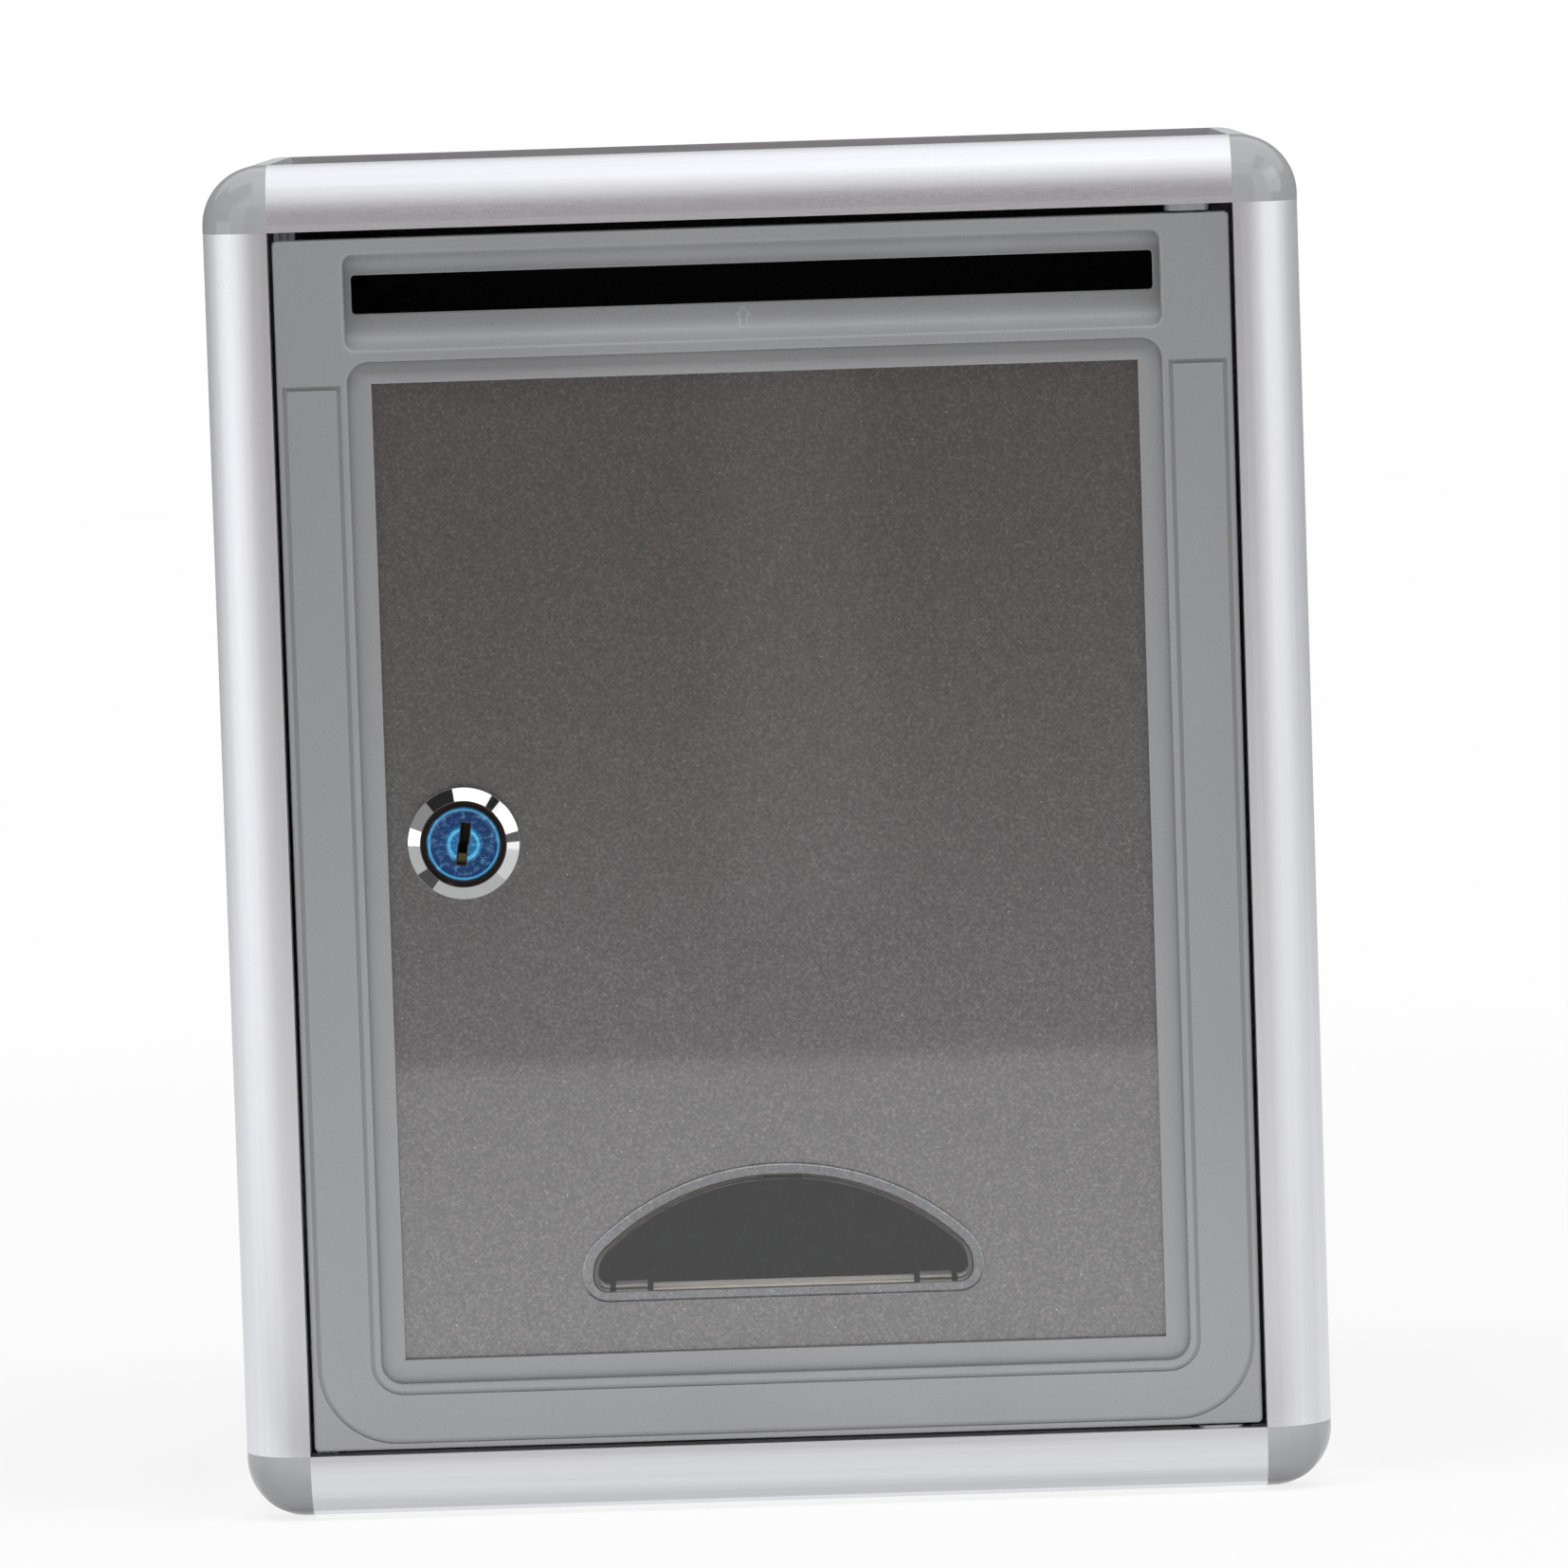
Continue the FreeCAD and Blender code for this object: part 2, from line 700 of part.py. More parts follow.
def moon(inset, y0, y1):
    half = MOON_WIDE / 2 - inset
    low = moon_z + inset
    arc_r = MOON_ARC_R - inset
    centre = moon_z + MOON_HIGH - MOON_ARC_R
    shoulder = centre + math.sqrt(arc_r * arc_r - half * half)
    left_low = vec(moon_x - half, y0, low)
    right_low = vec(moon_x + half, y0, low)
    right_high = vec(moon_x + half, y0, shoulder)
    left_high = vec(moon_x - half, y0, shoulder)
    crown = vec(moon_x, y0, centre + arc_r)
    edges = [
        Part.makeLine(left_low, right_low),
        Part.makeLine(right_low, right_high),
        Part.Arc(right_high, crown, left_high).toShape(),
        Part.makeLine(left_high, left_low),
    ]
    block = Part.Face(Part.Wire(edges)).extrude(vec(0, y1 - y0, 0))

    def upright(z):
        return [e for e in block.Edges if along_y(e) and abs(e.Vertexes[0].Z - z) < 1e-6]

    block = block.makeFillet(MOON_LOW_R - inset, upright(low))
    return block.makeFillet(MOON_SHOULDER_R - inset, upright(shoulder))


# Door sheet with its lock hole and half-moon cut-out.


def barrel_hole(grow, y0, y1):
    round_part = rod_y(LOCK_X, LOCK_Z, BARREL_R + grow, y0, y1)
    flat = BARREL_FLAT + grow
    tall = 2 * BARREL_R
    flats = slab(LOCK_X - flat, LOCK_X + flat, y0, y1, LOCK_Z - tall, LOCK_Z + tall)
    return round_part.common(flats)


insert = slab(insert_x0, insert_x1, INSERT_FRONT, INSERT_BACK, insert_z0, insert_z1)
insert = insert.cut(barrel_hole(BARREL_FIT, INSERT_FRONT - INSERT, INSERT_BACK + INSERT))
insert = insert.cut(moon(MOON_LAP, INSERT_FRONT - INSERT, INSERT_BACK + INSERT))
nodes["door_sheet"] = insert

# Window: a flat round-edged pane whose flange lies on the sheet, a skirt through
# the cut-out and three clips, each free of the skirt and hooked behind the sheet.


def window():
    face = INSERT_FRONT - MOON_FLANGE
    pane_back = INSERT_FRONT - MOON_SEAT
    inner = MOON_LAP + MOON_FIT
    pane = moon(0, face, pane_back)
    rim = [e for e in pane.Edges if all(abs(v.Y - face) < 1e-6 for v in e.Vertexes)]
    pane = pane.makeFillet(MOON_EDGE_R, rim)
    root = INSERT_FRONT - MOON_FLANGE / 2
    skirt_end = pane_back + MOON_SKIRT_DEEP
    skirt = moon(inner, root, skirt_end)
    skirt = skirt.cut(moon(inner + MOON_SKIRT, pane_back, skirt_end + MOON_SKIRT_DEEP))
    low_z = moon_z + inner
    top_z = moon_z + MOON_HIGH - inner
    clips = []
    for x, z, out in ((-CLIP_OUT, low_z, -1), (CLIP_OUT, low_z, -1), (0, top_z, 1)):
        gap = CLIP_WIDE / 2 + CLIP_SLIT
        z0 = z - 2 * MOON_SKIRT
        z1 = z + 2 * MOON_SKIRT
        skirt = skirt.cut(slab(moon_x + x - gap, moon_x + x + gap, pane_back, skirt_end, z0, z1))
        clips.append(clip(moon_x + x, z, out, root))
    return fuse(pane, skirt, *clips)


def clip(x, z, out, root):
    hook_y = INSERT_BACK + CLIP_GAP
    clip_end = INSERT_FRONT + CLIP_DEEP
    x0 = x - CLIP_WIDE / 2
    outline = [
        vec(x0, root, z - out * MOON_SKIRT),
        vec(x0, root, z),
        vec(x0, hook_y, z),
        vec(x0, hook_y, z + out * (CLIP_REACH + MOON_FIT)),
        vec(x0, clip_end, z),
        vec(x0, clip_end, z - out * MOON_SKIRT),
    ]
    return prism(outline, vec(CLIP_WIDE, 0, 0))


nodes["window"] = window()

# Lock housing: a bevelled bezel with a sunk mouth, and a barrel with two flats.

barrel_end = INSERT_FRONT + BARREL_LONG
bezel_front = INSERT_FRONT - BEZEL_HIGH
mouth_floor = bezel_front + MOUTH_DEEP
bevel_from = INSERT_FRONT - BEZEL_WALL


def lock_housing():
    wall = rod_y(LOCK_X, LOCK_Z, BEZEL_R, bevel_from, INSERT_FRONT)
    bevel_high = BEZEL_HIGH - BEZEL_WALL
    bevel = Part.makeCone(
        BEZEL_FRONT_R, BEZEL_R, bevel_high, vec(LOCK_X, bezel_front, LOCK_Z), vec(0, 1, 0)
    )
    bezel = fuse(wall, bevel)
    shoulder = []
    for edge in bezel.Edges:
        at_shoulder = abs(edge.CenterOfMass.y - bevel_from) < 1e-6
        if at_shoulder and isinstance(edge.Curve, Part.Circle):
            shoulder.append(edge)
    bezel = bezel.makeFillet(BEZEL_EDGE_R, shoulder)
    whole = fuse(bezel, barrel_hole(0, INSERT_FRONT, barrel_end))
    whole = whole.cut(rod_y(LOCK_X, LOCK_Z, MOUTH_R, bezel_front - MOUTH_DEEP, mouth_floor))
    bore_r = PLUG_R + RUN_FIT
    return whole.cut(rod_y(LOCK_X, LOCK_Z, bore_r, bezel_front, barrel_end + BARREL_LONG))


nodes["lock_housing"] = lock_housing()

# Washer and hexagon nut that clamp the housing to the door sheet.

washer = rod_y(LOCK_X, LOCK_Z, WASHER_R, INSERT_BACK, INSERT_BACK + WASHER)
washer = washer.cut(barrel_hole(BARREL_FIT, INSERT_FRONT, barrel_end))
nodes["lock_washer"] = washer

nut_from = INSERT_BACK + WASHER
nut_r = NUT_FLATS / math.sqrt(3)
nut_points = []
for corner_number in range(6):
    angle = math.radians(60 * corner_number)
    nut_points.append(vec(LOCK_X + nut_r * math.cos(angle), nut_from, LOCK_Z + nut_r * math.sin(angle)))
nut = prism(nut_points, vec(0, NUT, 0))
nodes["lock_nut"] = nut.cut(rod_y(LOCK_X, LOCK_Z, BARREL_R, nut_from - NUT, nut_from + 2 * NUT))

# Plug that turns in the housing: head, body with stepped key slot and wafer
# slots, and a square tail for the stop disc and the cam.

plug_face = bezel_front + HEAD_SUNK
head_back = mouth_floor - END_FIT
plug_end = barrel_end + END_FIT
tail_end = plug_end + STOP_DISC + CAM - END_FIT


def tilted(shape):
    turned = shape.copy()
    turned.rotate(vec(LOCK_X, 0, LOCK_Z), vec(0, 1, 0), KEY_TILT)
    return turned


def key_slot(grow, y0, y1):
    half = KEY_WIDE / 2 + grow
    tall = KEY_HIGH / 2 + grow
    upper = slab(
        LOCK_X + KEY_STEP - half, LOCK_X + KEY_STEP + half, y0, y1, LOCK_Z - grow, LOCK_Z + tall
    )
    lower = slab(
        LOCK_X - KEY_STEP - half, LOCK_X - KEY_STEP + half, y0, y1, LOCK_Z - tall, LOCK_Z + grow
    )
    return tilted(fuse(upper, lower))


def wafer_start(number):
    return head_back + WAFER_PITCH * (number + 0.5)


def wafer_box(grow, number):
    y0 = wafer_start(number) - grow
    half = WAFER_WIDE / 2 + grow
    tall = WAFER_HIGH / 2 + grow
    return tilted(
        slab(LOCK_X - half, LOCK_X + half, y0, y0 + WAFER + 2 * grow, LOCK_Z - tall, LOCK_Z + tall)
    )


def lock_plug():
    head = rod_y(LOCK_X, LOCK_Z, HEAD_R, plug_face, head_back)
    body = rod_y(LOCK_X, LOCK_Z, PLUG_R, plug_face, plug_end)
    half = TAIL / 2
    tail = slab(LOCK_X - half, LOCK_X + half, plug_end - WALL, tail_end, LOCK_Z - half, LOCK_Z + half)
    whole = fuse(head, body, tail)
    whole = whole.cut(key_slot(0, plug_face - FILM, plug_face + KEY_DEEP))
    for number in range(WAFER_COUNT):
        whole = whole.cut(wafer_box(WAFER_FIT, number))
    screw_from = tail_end - SCREW_LONG
    return whole.cut(rod_y(LOCK_X, LOCK_Z, SCREW_R, max(screw_from, plug_face + KEY_DEEP), tail_end + CAM))


nodes["lock_plug"] = lock_plug()

film = rod_y(LOCK_X, LOCK_Z, FILM_R, plug_face - FILM, plug_face)
nodes["lock_film"] = film.cut(key_slot(FILM_CUT, plug_face - 2 * FILM, plug_face + FILM))


def wafer(number):
    half = WAFER_EYE_WIDE / 2
    tall = WAFER_EYE_HIGH / 2
    y0 = wafer_start(number)
    eye_z = LOCK_Z + WAFER_EYE_UP
    eye = slab(LOCK_X - half, LOCK_X + half, y0 - WAFER, y0 + 2 * WAFER, eye_z - tall, eye_z + tall)
    return wafer_box(0, number).cut(tilted(eye))


nodes["lock_wafers"] = Part.makeCompound([wafer(number) for number in range(WAFER_COUNT)])

# Stop disc, cam and screw on the plug's tail.


def tail_hole(y0, y1):
    half = TAIL / 2 + TAIL_FIT
    return slab(LOCK_X - half, LOCK_X + half, y0, y1, LOCK_Z - half, LOCK_Z + half)


disc_end = plug_end + STOP_DISC
stop_disc = rod_y(LOCK_X, LOCK_Z, STOP_DISC_R, plug_end, disc_end)
lug_half = STOP_LUG_WIDE / 2
lug = slab(LOCK_X - lug_half, LOCK_X + lug_half, plug_end, disc_end, LOCK_Z, LOCK_Z + STOP_DISC_R + STOP_LUG)
nodes["lock_stop_disc"] = fuse(stop_disc, lug).cut(tail_hole(plug_end - WALL, disc_end + WALL))

cam_end = disc_end + CAM
tip_z = LOCK_Z - CAM_LONG
cam_hub = rod_y(LOCK_X, LOCK_Z, CAM_HUB_R, disc_end, cam_end)
cam_tip = rod_y(LOCK_X, tip_z, CAM_TIP_R, disc_end, cam_end)
lean = (CAM_HUB_R - CAM_TIP_R) / CAM_LONG
rise = math.sqrt(1 - lean * lean)
arm_points = [
    vec(LOCK_X - CAM_HUB_R * rise, disc_end, LOCK_Z - CAM_HUB_R * lean),
    vec(LOCK_X - CAM_TIP_R * rise, disc_end, tip_z - CAM_TIP_R * lean),
    vec(LOCK_X + CAM_TIP_R * rise, disc_end, tip_z - CAM_TIP_R * lean),
    vec(LOCK_X + CAM_HUB_R * rise, disc_end, LOCK_Z - CAM_HUB_R * lean),
]
cam_arm = prism(arm_points, vec(0, CAM, 0))
nodes["lock_cam"] = fuse(cam_hub, cam_arm, cam_tip).cut(tail_hole(disc_end - WALL, cam_end + WALL))

screw_tip = max(tail_end - SCREW_LONG, plug_face + KEY_DEEP)
screw_head = rod_y(LOCK_X, LOCK_Z, SCREW_HEAD_R, cam_end, cam_end + SCREW_HEAD)
screw_shank = rod_y(LOCK_X, LOCK_Z, SCREW_R, screw_tip, cam_end + SCREW_HEAD / 2)
screw = fuse(screw_head, screw_shank)
for arm_x, arm_z in ((SCREW_R, SCREW_SLOT / 2), (SCREW_SLOT / 2, SCREW_R)):
    cross = slab(
        LOCK_X - arm_x,
        LOCK_X + arm_x,
        cam_end + SCREW_HEAD / 2,
        cam_end + 2 * SCREW_HEAD,
        LOCK_Z - arm_z,
        LOCK_Z + arm_z,
    )
    screw = screw.cut(cross)
nodes["cam_screw"] = screw

os.makedirs("parts", exist_ok=True)
for name, shape in nodes.items():
    shape.exportStep("parts/" + name + ".step")
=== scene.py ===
import math

import bpy
from mathutils import Matrix, Vector
from mathutils.bvhtree import BVHTree


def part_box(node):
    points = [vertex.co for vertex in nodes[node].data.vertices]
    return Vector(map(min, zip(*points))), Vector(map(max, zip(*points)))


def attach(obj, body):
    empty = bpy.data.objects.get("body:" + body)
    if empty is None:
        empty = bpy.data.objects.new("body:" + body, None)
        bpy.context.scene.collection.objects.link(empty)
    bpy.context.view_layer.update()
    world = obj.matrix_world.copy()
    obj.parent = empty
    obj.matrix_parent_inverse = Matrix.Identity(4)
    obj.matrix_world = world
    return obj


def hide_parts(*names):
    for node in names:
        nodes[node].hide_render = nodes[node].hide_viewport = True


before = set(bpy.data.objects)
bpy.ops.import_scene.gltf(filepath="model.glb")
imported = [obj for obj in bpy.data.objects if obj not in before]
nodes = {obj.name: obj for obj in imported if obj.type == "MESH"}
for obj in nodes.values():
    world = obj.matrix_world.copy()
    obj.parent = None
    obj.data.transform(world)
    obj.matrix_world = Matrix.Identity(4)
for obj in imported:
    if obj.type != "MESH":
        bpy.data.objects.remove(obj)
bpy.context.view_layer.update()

# Posts and rails
# Twelve lengths of one quarter-round aluminium extrusion are the edges of the case.
# They are pressed through a die, blasted and anodised: a fine satin grain over faint die lines.


def blank_finish(name):
    """A node material with one surface shader and the piece's own coordinates in metres."""
    finish = bpy.data.materials.new(name)
    finish.use_nodes = True
    tree = finish.node_tree
    tree.nodes.clear()
    output = tree.nodes.new("ShaderNodeOutputMaterial")
    skin = tree.nodes.new("ShaderNodeBsdfPrincipled")
    tree.links.new(skin.outputs["BSDF"], output.inputs["Surface"])
    place = tree.nodes.new("ShaderNodeTexCoord").outputs["Object"]
    return finish, tree, skin, place


def grain(tree, place, per_metre, detail=2.0):
    """Noise of that many grains to a metre along X, Y and Z."""
    spread = tree.nodes.new("ShaderNodeMapping")
    spread.inputs["Scale"].default_value = per_metre
    tree.links.new(place, spread.inputs["Vector"])
    noise = tree.nodes.new("ShaderNodeTexNoise")
    noise.inputs["Scale"].default_value = 1.0
    noise.inputs["Detail"].default_value = detail
    tree.links.new(spread.outputs["Vector"], noise.inputs["Vector"])
    return noise.outputs["Fac"]


def shades(tree, factor, stops):
    """Colours along a factor, each stop a position and a linear colour."""
    ramp = tree.nodes.new("ShaderNodeValToRGB")
    while len(ramp.color_ramp.elements) < len(stops):
        ramp.color_ramp.elements.new(0.5)
    for element, (position, colour) in zip(ramp.color_ramp.elements, stops):
        element.position = position
        element.color = (*colour, 1.0)
    tree.links.new(factor, ramp.inputs["Fac"])
    return ramp.outputs["Color"]


def between(tree, factor, low, high):
    """The middle of a noise, spread from low to high."""
    span = tree.nodes.new("ShaderNodeMapRange")
    span.inputs["From Min"].default_value = 0.3
    span.inputs["From Max"].default_value = 0.7
    span.inputs["To Min"].default_value = low
    span.inputs["To Max"].default_value = high
    tree.links.new(factor, span.inputs["Value"])
    return span.outputs["Result"]


def relief(tree, skin, height, depth, under=None):
    """Raises the surface by a height map, on top of an earlier relief where there is one."""
    bump = tree.nodes.new("ShaderNodeBump")
    bump.inputs["Strength"].default_value = 1.0
    bump.inputs["Distance"].default_value = depth
    tree.links.new(height, bump.inputs["Height"])
    if under is not None:
        tree.links.new(under, bump.inputs["Normal"])
    tree.links.new(bump.outputs["Normal"], skin.inputs["Normal"])
    return bump.outputs["Normal"]


def wear(finish, *names):
    """Gives CAD nodes that finish."""
    for name in names:
        nodes[name].data.materials.clear()
        nodes[name].data.materials.append(finish)


def anodised(name, die_lines):
    """Satin anodised aluminium, with that many die lines to a metre along X, Y and Z."""
    finish, tree, skin, place = blank_finish(name)
    lines = grain(tree, place, die_lines, 3.0)
    blasted = grain(tree, place, (2600, 2600, 2600), 1.0)
    skin.inputs["Metallic"].default_value = 1.0
    tone = shades(tree, lines, [(0.30, (0.868, 0.874, 0.912)), (0.70, (0.918, 0.924, 0.958))])
    tree.links.new(tone, skin.inputs["Base Color"])
    tree.links.new(between(tree, blasted, 0.44, 0.54), skin.inputs["Roughness"])
    under = relief(tree, skin, lines, 0.000004)
    relief(tree, skin, blasted, 0.000012, under)
    return finish


upright = ("post_front_left", "post_front_right", "post_rear_left", "post_rear_right")
crosswise = ("rail_front_top", "rail_front_bottom", "rail_rear_top", "rail_rear_bottom")
endwise = ("rail_left_top", "rail_left_bottom", "rail_right_top", "rail_right_bottom")
lines_across = 900
lines_along = 6
wear(anodised("anodised_upright", (lines_across, lines_across, lines_along)), *upright)
wear(anodised("anodised_crosswise", (lines_along, lines_across, lines_across)), *crosswise)
wear(anodised("anodised_endwise", (lines_across, lines_along, lines_across)), *endwise)

# Corner connectors
# Eight three-way corners close the ends of the extrusions, each with plugs into three of them.
# They are grey ABS mouldings with a smooth, fairly glossy skin and faint flow marks.

corner_grey, tree, skin, place = blank_finish("corner_grey")
flow = grain(tree, place, (60, 60, 60), 2.0)
ripple = grain(tree, place, (700, 700, 700), 1.0)
tone = shades(tree, flow, [(0.30, (0.342, 0.344, 0.354)), (0.70, (0.372, 0.374, 0.385))])
tree.links.new(tone, skin.inputs["Base Color"])
tree.links.new(between(tree, ripple, 0.05, 0.08), skin.inputs["Roughness"])
relief(tree, skin, ripple, 0.000002)
corners = []
for depth_side in ("front", "rear"):
    for level in ("bottom", "top"):
        for hand in ("left", "right"):
            corners.append(f"corner_{depth_side}_{level}_{hand}")
wear(corner_grey, *corners)

# Case sheets
# Five dark composite sheets slide into the grooves of the extrusions before the corners close them.
# Their skin is a satin dark grey lacquer with a fine metallic fleck.

dark_lacquer, tree, skin, place = blank_finish("dark_lacquer")
fleck = grain(tree, place, (1900, 1900, 1900), 2.0)
cloud = grain(tree, place, (14, 14, 14), 2.0)
tone = shades(
    tree,
    fleck,
    [
        (0.32, (0.075, 0.072, 0.072)),
        (0.62, (0.10, 0.097, 0.096)),
        (0.78, (0.19, 0.185, 0.18)),
    ],
)
tree.links.new(tone, skin.inputs["Base Color"])
skin.inputs["Metallic"].default_value = 0.3
skin.inputs["Specular IOR Level"].default_value = 0.2
tree.links.new(between(tree, cloud, 0.32, 0.40), skin.inputs["Roughness"])
relief(tree, skin, fleck, 0.000010)
wear(dark_lacquer, "sheet_left", "sheet_right", "sheet_top", "sheet_bottom", "sheet_back")

# Hinge pivots and door stops
# Small nylon mouldings pushed into the grooves of the front rails.
# The pivots that carry the door are at the right, the stops at the left.
# Grey nylon, a little waxy, with the soft texture of its mould.

grey_nylon, tree, skin, place = blank_finish("grey_nylon")
mottle = grain(tree, place, (400, 400, 400), 3.0)
tone = shades(tree, mottle, [(0.30, (0.27, 0.275, 0.28)), (0.70, (0.32, 0.325, 0.33))])
tree.links.new(tone, skin.inputs["Base Color"])
tree.links.new(between(tree, mottle, 0.35, 0.45), skin.inputs["Roughness"])
skin.inputs["Subsurface Weight"].default_value = 0.1
skin.inputs["Subsurface Radius"].default_value = (0.001, 0.001, 0.001)
relief(tree, skin, mottle, 0.00001)
wear(grey_nylon, "hinge_pivot_top", "hinge_pivot_bottom", "door_stop_top", "door_stop_bottom")

# Door frame
# One grey ABS moulding with letter slot, scooped pocket, sunk surround, grooved strip and hooks.
# Satin from a fine spark-eroded mould, with slow flow clouds. The floors of the strip's grooves
# are painted a little paler, a painted light that lifts the shade in them, because the grooves look
# shallower in the photograph.


def blend(tree, factor, below, above, way="MIX"):
    """One colour over another by a factor. Each of the three is a socket or a fixed value."""
    layers = tree.nodes.new("ShaderNodeMix")
    layers.data_type = "RGBA"
    layers.blend_type = way
    for socket_name, value in (("Factor", factor), ("A", below), ("B", above)):
        if isinstance(value, bpy.types.NodeSocket):
            tree.links.new(value, layers.inputs[socket_name])
        else:
            layers.inputs[socket_name].default_value = value
    return layers.outputs["Result"]


door_grey, tree, skin, place = blank_finish("door_grey")
clouds = grain(tree, place, (22, 22, 9), 2.0)
spark = grain(tree, place, (3200, 3200, 3200), 1.0)
face_tone = shades(tree, clouds, [(0.30, (0.256, 0.258, 0.264)), (0.70, (0.280, 0.282, 0.288))])
groove_deep = 0.0005
groove_slack = 0.00003
door_depth = tree.nodes.new("ShaderNodeSeparateXYZ")
tree.links.new(place, door_depth.inputs["Vector"])
groove_light_mask = tree.nodes.new("ShaderNodeMath")
groove_light_mask.operation = "COMPARE"
tree.links.new(door_depth.outputs["Y"], groove_light_mask.inputs[0])
groove_light_mask.inputs[1].default_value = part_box("door_frame")[0].y + groove_deep
groove_light_mask.inputs[2].default_value = groove_slack
# Paler colour on the groove floors: painted light that lifts the shade inside the grooves.
groove_painted_light = (0.305, 0.308, 0.314, 1.0)
tone = blend(tree, groove_light_mask.outputs["Value"], face_tone, groove_painted_light)
tree.links.new(tone, skin.inputs["Base Color"])
tree.links.new(between(tree, spark, 0.26, 0.34), skin.inputs["Roughness"])
relief(tree, skin, spark, 0.000006)
wear(door_grey, "door_frame")

# Arrow under the slot
# A small raised arrow in the scoop below the letter slot, moulded with the door frame.
# It is a low outline that points up into the slot, painted a little paler than the door round it as a
# painted highlight on its ridge.

door_mesh = nodes["door_frame"].data
door_tree = BVHTree.FromPolygons(
    [v.co for v in door_mesh.vertices],
    [list(p.vertices) for p in door_mesh.polygons],
)
arrow_middle = Vector((-0.0019, 0.0, 0.2402))
arrow_outline = [
    (0.0, 0.0025),
    (0.0018, 0.0003),
    (0.0010, 0.0003),
    (0.0010, -0.0022),
    (-0.0010, -0.0022),
    (-0.0010, 0.0003),
    (-0.0018, 0.0003),
]
arrow_line = 0.00050
arrow_high = 0.00012
arrow_sunk = 0.00004
crest_from = 0.4
crest_to = 0.6
ahead_of_door = -0.2
sharpest = 0.3


def on_door(x, z, out):
    """The door's front surface straight behind x, z, moved towards the front by out."""
    hit = door_tree.ray_cast(Vector((x, ahead_of_door, z)), Vector((0, 1, 0)))[0]
    return (x, hit.y - out, z)


def inset_corner(before, corner, after, width):
    """The corner of an outline moved inwards by the width of its line."""
    along = (corner - before).normalized()
    onward = (after - corner).normalized()
    side = Vector((along.y, -along.x))
    turn = Vector((onward.y, -onward.x))
    middle = (side + turn).normalized()
    return corner + middle * (width / max(sharpest, middle.dot(side)))


outer = [Vector(p) for p in arrow_outline]
count = len(outer)
inner = []
for i in range(count):
    inner.append(inset_corner(outer[i - 1], outer[i], outer[(i + 1) % count], arrow_line))
arrow_verts = []
arrow_faces = []
steps = 6
ring = []
for i in range(count):
    following = (i + 1) % count
    for s in range(steps):
        t = s / steps
        ring.append((outer[i].lerp(outer[following], t), inner[i].lerp(inner[following], t)))
arrow_section = (
    (0.0, -arrow_sunk),
    (crest_from, arrow_high),
    (crest_to, arrow_high),
    (1.0, -arrow_sunk),
)
for far, near in ring:
    for share, out in arrow_section:
        point = far.lerp(near, share)
        arrow_verts.append(on_door(arrow_middle.x + point.x, arrow_middle.z + point.y, out))
for i in range(len(ring)):
    a = 4 * i
    b = 4 * ((i + 1) % len(ring))
    for k in range(3):
        arrow_faces.append((a + k, b + k, b + k + 1, a + k + 1))
    arrow_faces.append((a + 3, b + 3, b, a))
arrow_mesh = bpy.data.meshes.new("slot_arrow")
arrow_mesh.from_pydata(arrow_verts, [], arrow_faces)
arrow_mesh.update()
slot_arrow = bpy.data.objects.new("slot_arrow", arrow_mesh)
bpy.context.scene.collection.objects.link(slot_arrow)
# The arrow's paler grey is a painted highlight, where its ridge would catch the light.
arrow_painted_highlight, tree, skin, place = blank_finish("arrow_painted_highlight")
highlight_mottle = grain(tree, place, (900, 900, 900), 2.0)
tone = shades(tree, highlight_mottle, [(0.30, (0.336, 0.338, 0.344)), (0.70, (0.394, 0.396, 0.402))])
tree.links.new(tone, skin.inputs["Base Color"])
tree.links.new(between(tree, highlight_mottle, 0.24, 0.34), skin.inputs["Roughness"])
slot_arrow.data.materials.append(arrow_painted_highlight)
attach(slot_arrow, "door")

# Door sheet
# A thin gunmetal sheet held in the door frame by moulded hooks.
# The lock and the window are set through it.
# Metallic paint with a fine bright fleck under a clear semi-gloss lacquer.


def specks(tree, place, per_metre, radius):
    """Small round spots scattered through space: 1 inside a spot and 0 outside."""
    solid_share = 0.6
    cells = tree.nodes.new("ShaderNodeTexVoronoi")
    cells.inputs["Scale"].default_value = per_metre
    tree.links.new(place, cells.inputs["Vector"])
    spot = tree.nodes.new("ShaderNodeMapRange")
    spot.inputs["From Min"].default_value = solid_share * radius * per_metre
    spot.inputs["From Max"].default_value = radius * per_metre
    spot.inputs["To Min"].default_value = 1.0
    spot.inputs["To Max"].default_value = 0.0
    tree.links.new(cells.outputs["Distance"], spot.inputs["Value"])
    return spot.outputs["Result"]


gunmetal, tree, skin, place = blank_finish("gunmetal")
fleck = grain(tree, place, (1900, 1900, 1900), 3.0)
drift = grain(tree, place, (9, 9, 4), 2.0)
tone = shades(
    tree,
    fleck,
    [
        (0.30, (0.199, 0.196, 0.199)),
        (0.50, (0.251, 0.247, 0.250)),
        (0.66, (0.318, 0.313, 0.316)),
        (0.78, (0.50, 0.49, 0.49)),
    ],
)
sparkle = (0.66, 0.65, 0.63, 1.0)
sparkle_count = 200
sparkle_radius = 0.00022
spots = specks(tree, place, sparkle_count, sparkle_radius)
tree.links.new(blend(tree, spots, tone, sparkle), skin.inputs["Base Color"])
skin.inputs["Metallic"].default_value = 0.9
tree.links.new(between(tree, drift, 0.31, 0.36), skin.inputs["Roughness"])
skin.inputs["Coat Weight"].default_value = 1.0
skin.inputs["Coat IOR"].default_value = 1.68
skin.inputs["Coat Roughness"].default_value = 0.04
relief(tree, skin, fleck, 0.000010)
wear(gunmetal, "door_sheet")

# Half-moon window
# A clear moulding pushed through the sheet from the front: a flat pane, a skirt and three clips.
# The pane is polished acrylic, the skirt and clips behind it are milky from their mould.

